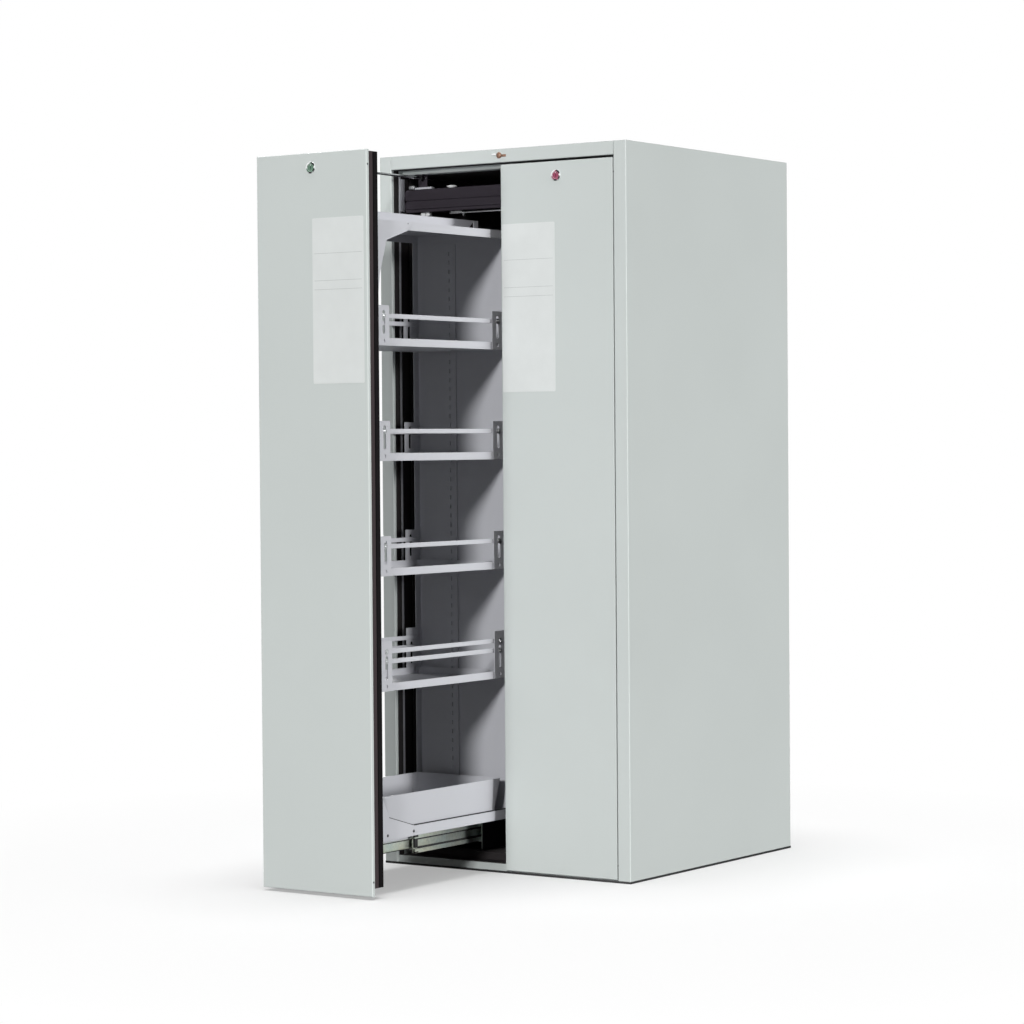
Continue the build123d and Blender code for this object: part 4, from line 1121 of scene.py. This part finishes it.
    def hook(self, mesh, sign, start):
        """Strip that lies on the link, bends down and ends in a short tip."""
        wide, thick = self.LINK_DEPTH * self.HOOK_SECTION[0], self.LINK_HEIGHT * self.HOOK_SECTION[1]
        corners = [(0, 0), (wide, 0), (wide, thick), (0, thick)]
        points = [start + Vector((sign * self.HOOK_RUN, y, z)) for y, z in corners]
        section = mesh.faces.new([mesh.verts.new(point) for point in points])
        end = self.drawn(mesh, section, (-sign * self.HOOK_RUN, 0, 0))
        centre = start + Vector((0, 0, -self.HOOK_BEND))
        bent = bmesh.ops.spin(
            mesh, geom=[end], cent=centre, axis=(0, -sign, 0), dvec=(0, 0, 0), angle=self.HOOK_TURN, steps=5,
        )["geom_last"]
        tip = next(item for item in bent if isinstance(item, bmesh.types.BMFace))
        self.drawn(mesh, tip, (-sign * self.HOOK_TIP * self.TIP_LEAN, 0, -self.HOOK_TIP))

    def drawn(self, mesh, face, way):
        """A face drawn out along a vector; returns the face at the end."""
        made = bmesh.ops.extrude_face_region(mesh, geom=[face])["geom"]
        moved = [item for item in made if isinstance(item, bmesh.types.BMVert)]
        bmesh.ops.translate(mesh, vec=way, verts=moved)
        return next(item for item in made if isinstance(item, bmesh.types.BMFace))


class CABINET_OT_rod_fittings(Step, Operator):
    """Rubber sleeves before the guide bushes, bolts in their brackets and collars at the doors"""

    bl_idname = "cabinet.rod_fittings"
    bl_label = "Rod fittings"

    SLEEVE = (0.0037, 0.0068)
    SLEEVE_SETBACK = 0.0045
    BUSH_LENGTH = 0.024
    PLATE_SHEET = 0.002
    BOLT_OFFSET = 0.0109
    BOLT = (0.0029, 0.0034)
    COLLAR_SIZE = (0.0068, 0.0042)

    def build(self):
        bush = CLOSER_Y - self.BUSH_LENGTH / 2
        inner, outer = self.SLEEVE
        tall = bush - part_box("guide_brackets")[0].y - self.SLEEVE_SETBACK
        sleeve = [(inner, 0), (inner, tall), (outer * 0.8, tall), (outer, tall * 0.7), (outer, 0)]
        collar = sized(COLLAR, *self.COLLAR_SIZE)
        sleeves, bolts = bmesh.new(), bmesh.new()
        for side, sign in SIDES.items():
            centre = middle_of(f"{side}_guide_rod")
            turned(sleeves, sleeve, (centre.x, bush, centre.z), FORWARD, steps=28, closed=True)
            seat = (centre.x - sign * self.BOLT_OFFSET, CLOSER_Y - self.PLATE_SHEET / 2, centre.z)
            turned(bolts, domed(*self.BOLT), seat, FORWARD, steps=18)
            mesh = bmesh.new()
            turned(mesh, collar, (centre.x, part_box(f"{side}_guide_rod")[0].y, centre.z), BACKWARD, steps=6)
            add_piece(f"{side}_rod_collar", mesh, "screw_steel", f"{side}_pullout")
        add_piece("bush_sleeves", sleeves, "rubber", "carcass")
        add_piece("bracket_bolts", bolts, "screw_steel", "carcass")


class CABINET_OT_back_rivets(Step, Operator):
    """Blind rivets round the back sheet and on the flange of the exhaust spigot"""

    bl_idname = "cabinet.back_rivets"
    bl_label = "Back rivets"

    EDGE = 0.012
    RIVET_RISE = 0.4
    FLANGE_SHARE = 0.84
    FLANGE_COUNT = 6
    FLANGE_THICKNESS = 0.002

    def build(self):
        low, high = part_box("back_panel")
        x = (low.x + self.EDGE, high.x - self.EDGE)
        z = (low.z + self.EDGE, high.z - self.EDGE)
        places = [(end, high.y, level) for end in x for level in self.spaced(z)]
        places += [(across, high.y, end) for across in self.spaced(x)[1:-1] for end in z]
        self.rivets("back_rivets", places, BACKWARD)
        self.rivets("spigot_rivets", self.flange_places(), UP)

    def rivets(self, name, places, way):
        """Rivets that all face one way."""
        radius = self.trim.rivet_radius
        mesh = bmesh.new()
        for place in places:
            turned(mesh, domed(radius, radius * self.RIVET_RISE), place, way, steps=14)
        add_piece(name, mesh, "screw_steel", "carcass")

    def spaced(self, limits):
        """Even places between two limits, no further apart than the rivets' pitch."""
        count = math.ceil((limits[1] - limits[0]) / self.trim.rivet_pitch)
        return [limits[0] + (limits[1] - limits[0]) * index / count for index in range(count + 1)]

    def flange_places(self):
        """Places round the spigot's flange."""
        low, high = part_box("exhaust_spigot")
        centre = (low + high) / 2
        seat_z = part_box("roof_panel")[1].z + self.FLANGE_THICKNESS
        ring = (high.x - low.x) / 2 * self.FLANGE_SHARE
        for index in range(self.FLANGE_COUNT):
            turn = 2 * math.pi * (index + 0.5) / self.FLANGE_COUNT
            yield centre.x + ring * math.cos(turn), centre.y + ring * math.sin(turn), seat_z


class CABINET_OT_stage(Step, Operator):
    """White floor, soft studio lamps and the camera"""

    bl_idname = "cabinet.stage"
    bl_label = "Stage"

    FLOOR_HALF = 40.0
    FLOOR_WHITE = (0.12, 0.90)
    FADE = (1.1, 2.3)
    FADE_CENTRE = (0.0, -0.3, 0.0)
    # Setting, degrees to the right of the front, above the floor and of width, whether it lights the floor
    LAMPS = {
        "key_lamp": ("key", 14, 19, 7, False),
        "front_lamp": ("front", -1, 3, 6, False),
        "side_lamp": ("side", 88, 9, 11, False),
        "back_lamp": ("back", 225, 15, 20, False),
        "top_lamp": ("top", 0, 90, 30, True),
    }
    LAMP_DISTANCE = 5.0
    SENSOR_WIDTH = 36.0
    CLIP_END = 200.0

    def build(self):
        scene = bpy.context.scene
        stage = scene.cabinet_stage
        scene.view_settings.view_transform = "Standard"
        floor = self.floor(stage)
        self.sky(scene, stage)
        for name, (setting, *angles, on_floor) in self.LAMPS.items():
            lamp = self.lamp(name, getattr(stage, setting), *map(math.radians, angles))
            if not on_floor:
                self.spare(lamp, floor)
        self.camera(scene, stage)

    def seen(self, tree, stage):
        """One for what is looked at, a small share for what is mirrored, else nought."""
        path = tree.nodes.new("ShaderNodeLightPath").outputs
        straight = shader_math(tree, "MAXIMUM", path["Is Camera Ray"], path["Is Transmission Ray"])
        mirrored = shader_math(tree, "MULTIPLY", path["Is Glossy Ray"], stage.gloss)
        return shader_math(tree, "MAXIMUM", straight, mirrored)

    def floor(self, stage):
        """Large pale floor that keeps the shadow."""
        made = bpy.data.materials.new("studio_floor")
        tree = blank_tree(made)
        seen = self.seen(tree, stage)
        matt = shader_node(tree, "ShaderNodeBsdfDiffuse", {"Color": ranged(tree, seen, *self.FLOOR_WHITE)})
        glow = shader_node(tree, "ShaderNodeEmission", {"Color": WHITE, "Strength": 1.0})
        place = tree.nodes.new("ShaderNodeTexCoord").outputs["Object"]
        away = vector_math(tree, "DISTANCE", place, self.FADE_CENTRE)["Value"]
        glowing = shader_math(tree, "MULTIPLY", seen, ranged(tree, away, stage.floor_glow, 1.0, *self.FADE))
        mix = shader_node(tree, "ShaderNodeMixShader", {0: glowing, 1: matt.outputs[0], 2: glow.outputs[0]})
        shader_node(tree, "ShaderNodeOutputMaterial", {"Surface": mix.outputs[0]})
        mesh = bmesh.new()
        bmesh.ops.create_grid(mesh, x_segments=4, y_segments=4, size=self.FLOOR_HALF)
        floor = new_object("studio_floor", mesh_data("studio_floor", mesh, made))
        return floor

    def sky(self, scene, stage):
        """Even light all round, plain white where it is seen."""
        scene.world = bpy.data.worlds.new("studio_sky")
        tree = blank_tree(scene.world)
        level = ranged(tree, self.seen(tree, stage), stage.sky, 1.0)
        light = shader_node(tree, "ShaderNodeBackground", {"Color": WHITE, "Strength": level})
        shader_node(tree, "ShaderNodeOutputWorld", {"Surface": light.outputs[0]})

    def lamp(self, name, energy, turn, rise, width):
        """Soft even lamp, placed by its angles."""
        data = bpy.data.lights.new(name, "SUN")
        data.energy = energy
        data.angle = width
        towards = Vector((math.sin(turn) * math.cos(rise), -math.cos(turn) * math.cos(rise), math.sin(rise)))
        lamp = new_object(name, data)
        lamp.location = towards * self.LAMP_DISTANCE
        lamp.rotation_euler = towards.to_track_quat("Z", "Y").to_euler()
        return lamp

    def spare(self, lamp, floor):
        """Keeps a lamp off the floor, so that it throws no long shadow there."""
        spared = bpy.data.collections.new(f"{lamp.name}_spared")
        spared.objects.link(floor)
        lamp.light_linking.receiver_collection = spared
        spared.collection_objects[0].light_linking.link_state = "EXCLUDE"

    def camera(self, scene, stage):
        """Camera at the viewing angle of the photograph."""
        data = bpy.data.cameras.new("camera")
        data.sensor_width = self.SENSOR_WIDTH
        data.lens = stage.camera_lens
        data.clip_end = self.CLIP_END
        scene.camera = new_object("camera", data)
        scene.camera.location = stage.camera_place
        scene.camera.rotation_euler = stage.camera_turn


STEPS = (
    CABINET_OT_coat_nodes, CABINET_OT_blank_plates, CABINET_OT_lock_signs, CABINET_OT_fascia_plug,
    CABINET_OT_seal_strips, CABINET_OT_slide_buffers, CABINET_OT_edgings, CABINET_OT_frame_screws,
    CABINET_OT_closer_fittings, CABINET_OT_rod_fittings, CABINET_OT_back_rivets, CABINET_OT_stage,
)


class CABINET_PT_sidebar(Panel):
    """Steps that dress the cabinet, in their order"""

    bl_idname = "CABINET_PT_sidebar"
    bl_label = "Storage cabinet"
    bl_space_type = "VIEW_3D"
    bl_region_type = "UI"
    bl_category = "Cabinet"

    def draw(self, context):
        for step in STEPS:
            self.layout.operator(step.bl_idname)


CLASSES = (CabinetFinish, CabinetTrim, CabinetStage, *STEPS, CABINET_PT_sidebar)


def register():
    """Adds the classes and hangs their settings on the scene."""
    for each in CLASSES:
        bpy.utils.register_class(each)
    bpy.types.Scene.cabinet_finish = PointerProperty(type=CabinetFinish)
    bpy.types.Scene.cabinet_trim = PointerProperty(type=CabinetTrim)
    bpy.types.Scene.cabinet_stage = PointerProperty(type=CabinetStage)


def unregister():
    """Takes the settings and the classes away again."""
    del bpy.types.Scene.cabinet_stage
    del bpy.types.Scene.cabinet_trim
    del bpy.types.Scene.cabinet_finish
    for each in reversed(CLASSES):
        bpy.utils.unregister_class(each)


def main():
    """Runs every step."""
    register()
    for step in STEPS:
        getattr(bpy.ops.cabinet, step.bl_idname.split(".")[1])()


if __name__ == "__main__":
    main()
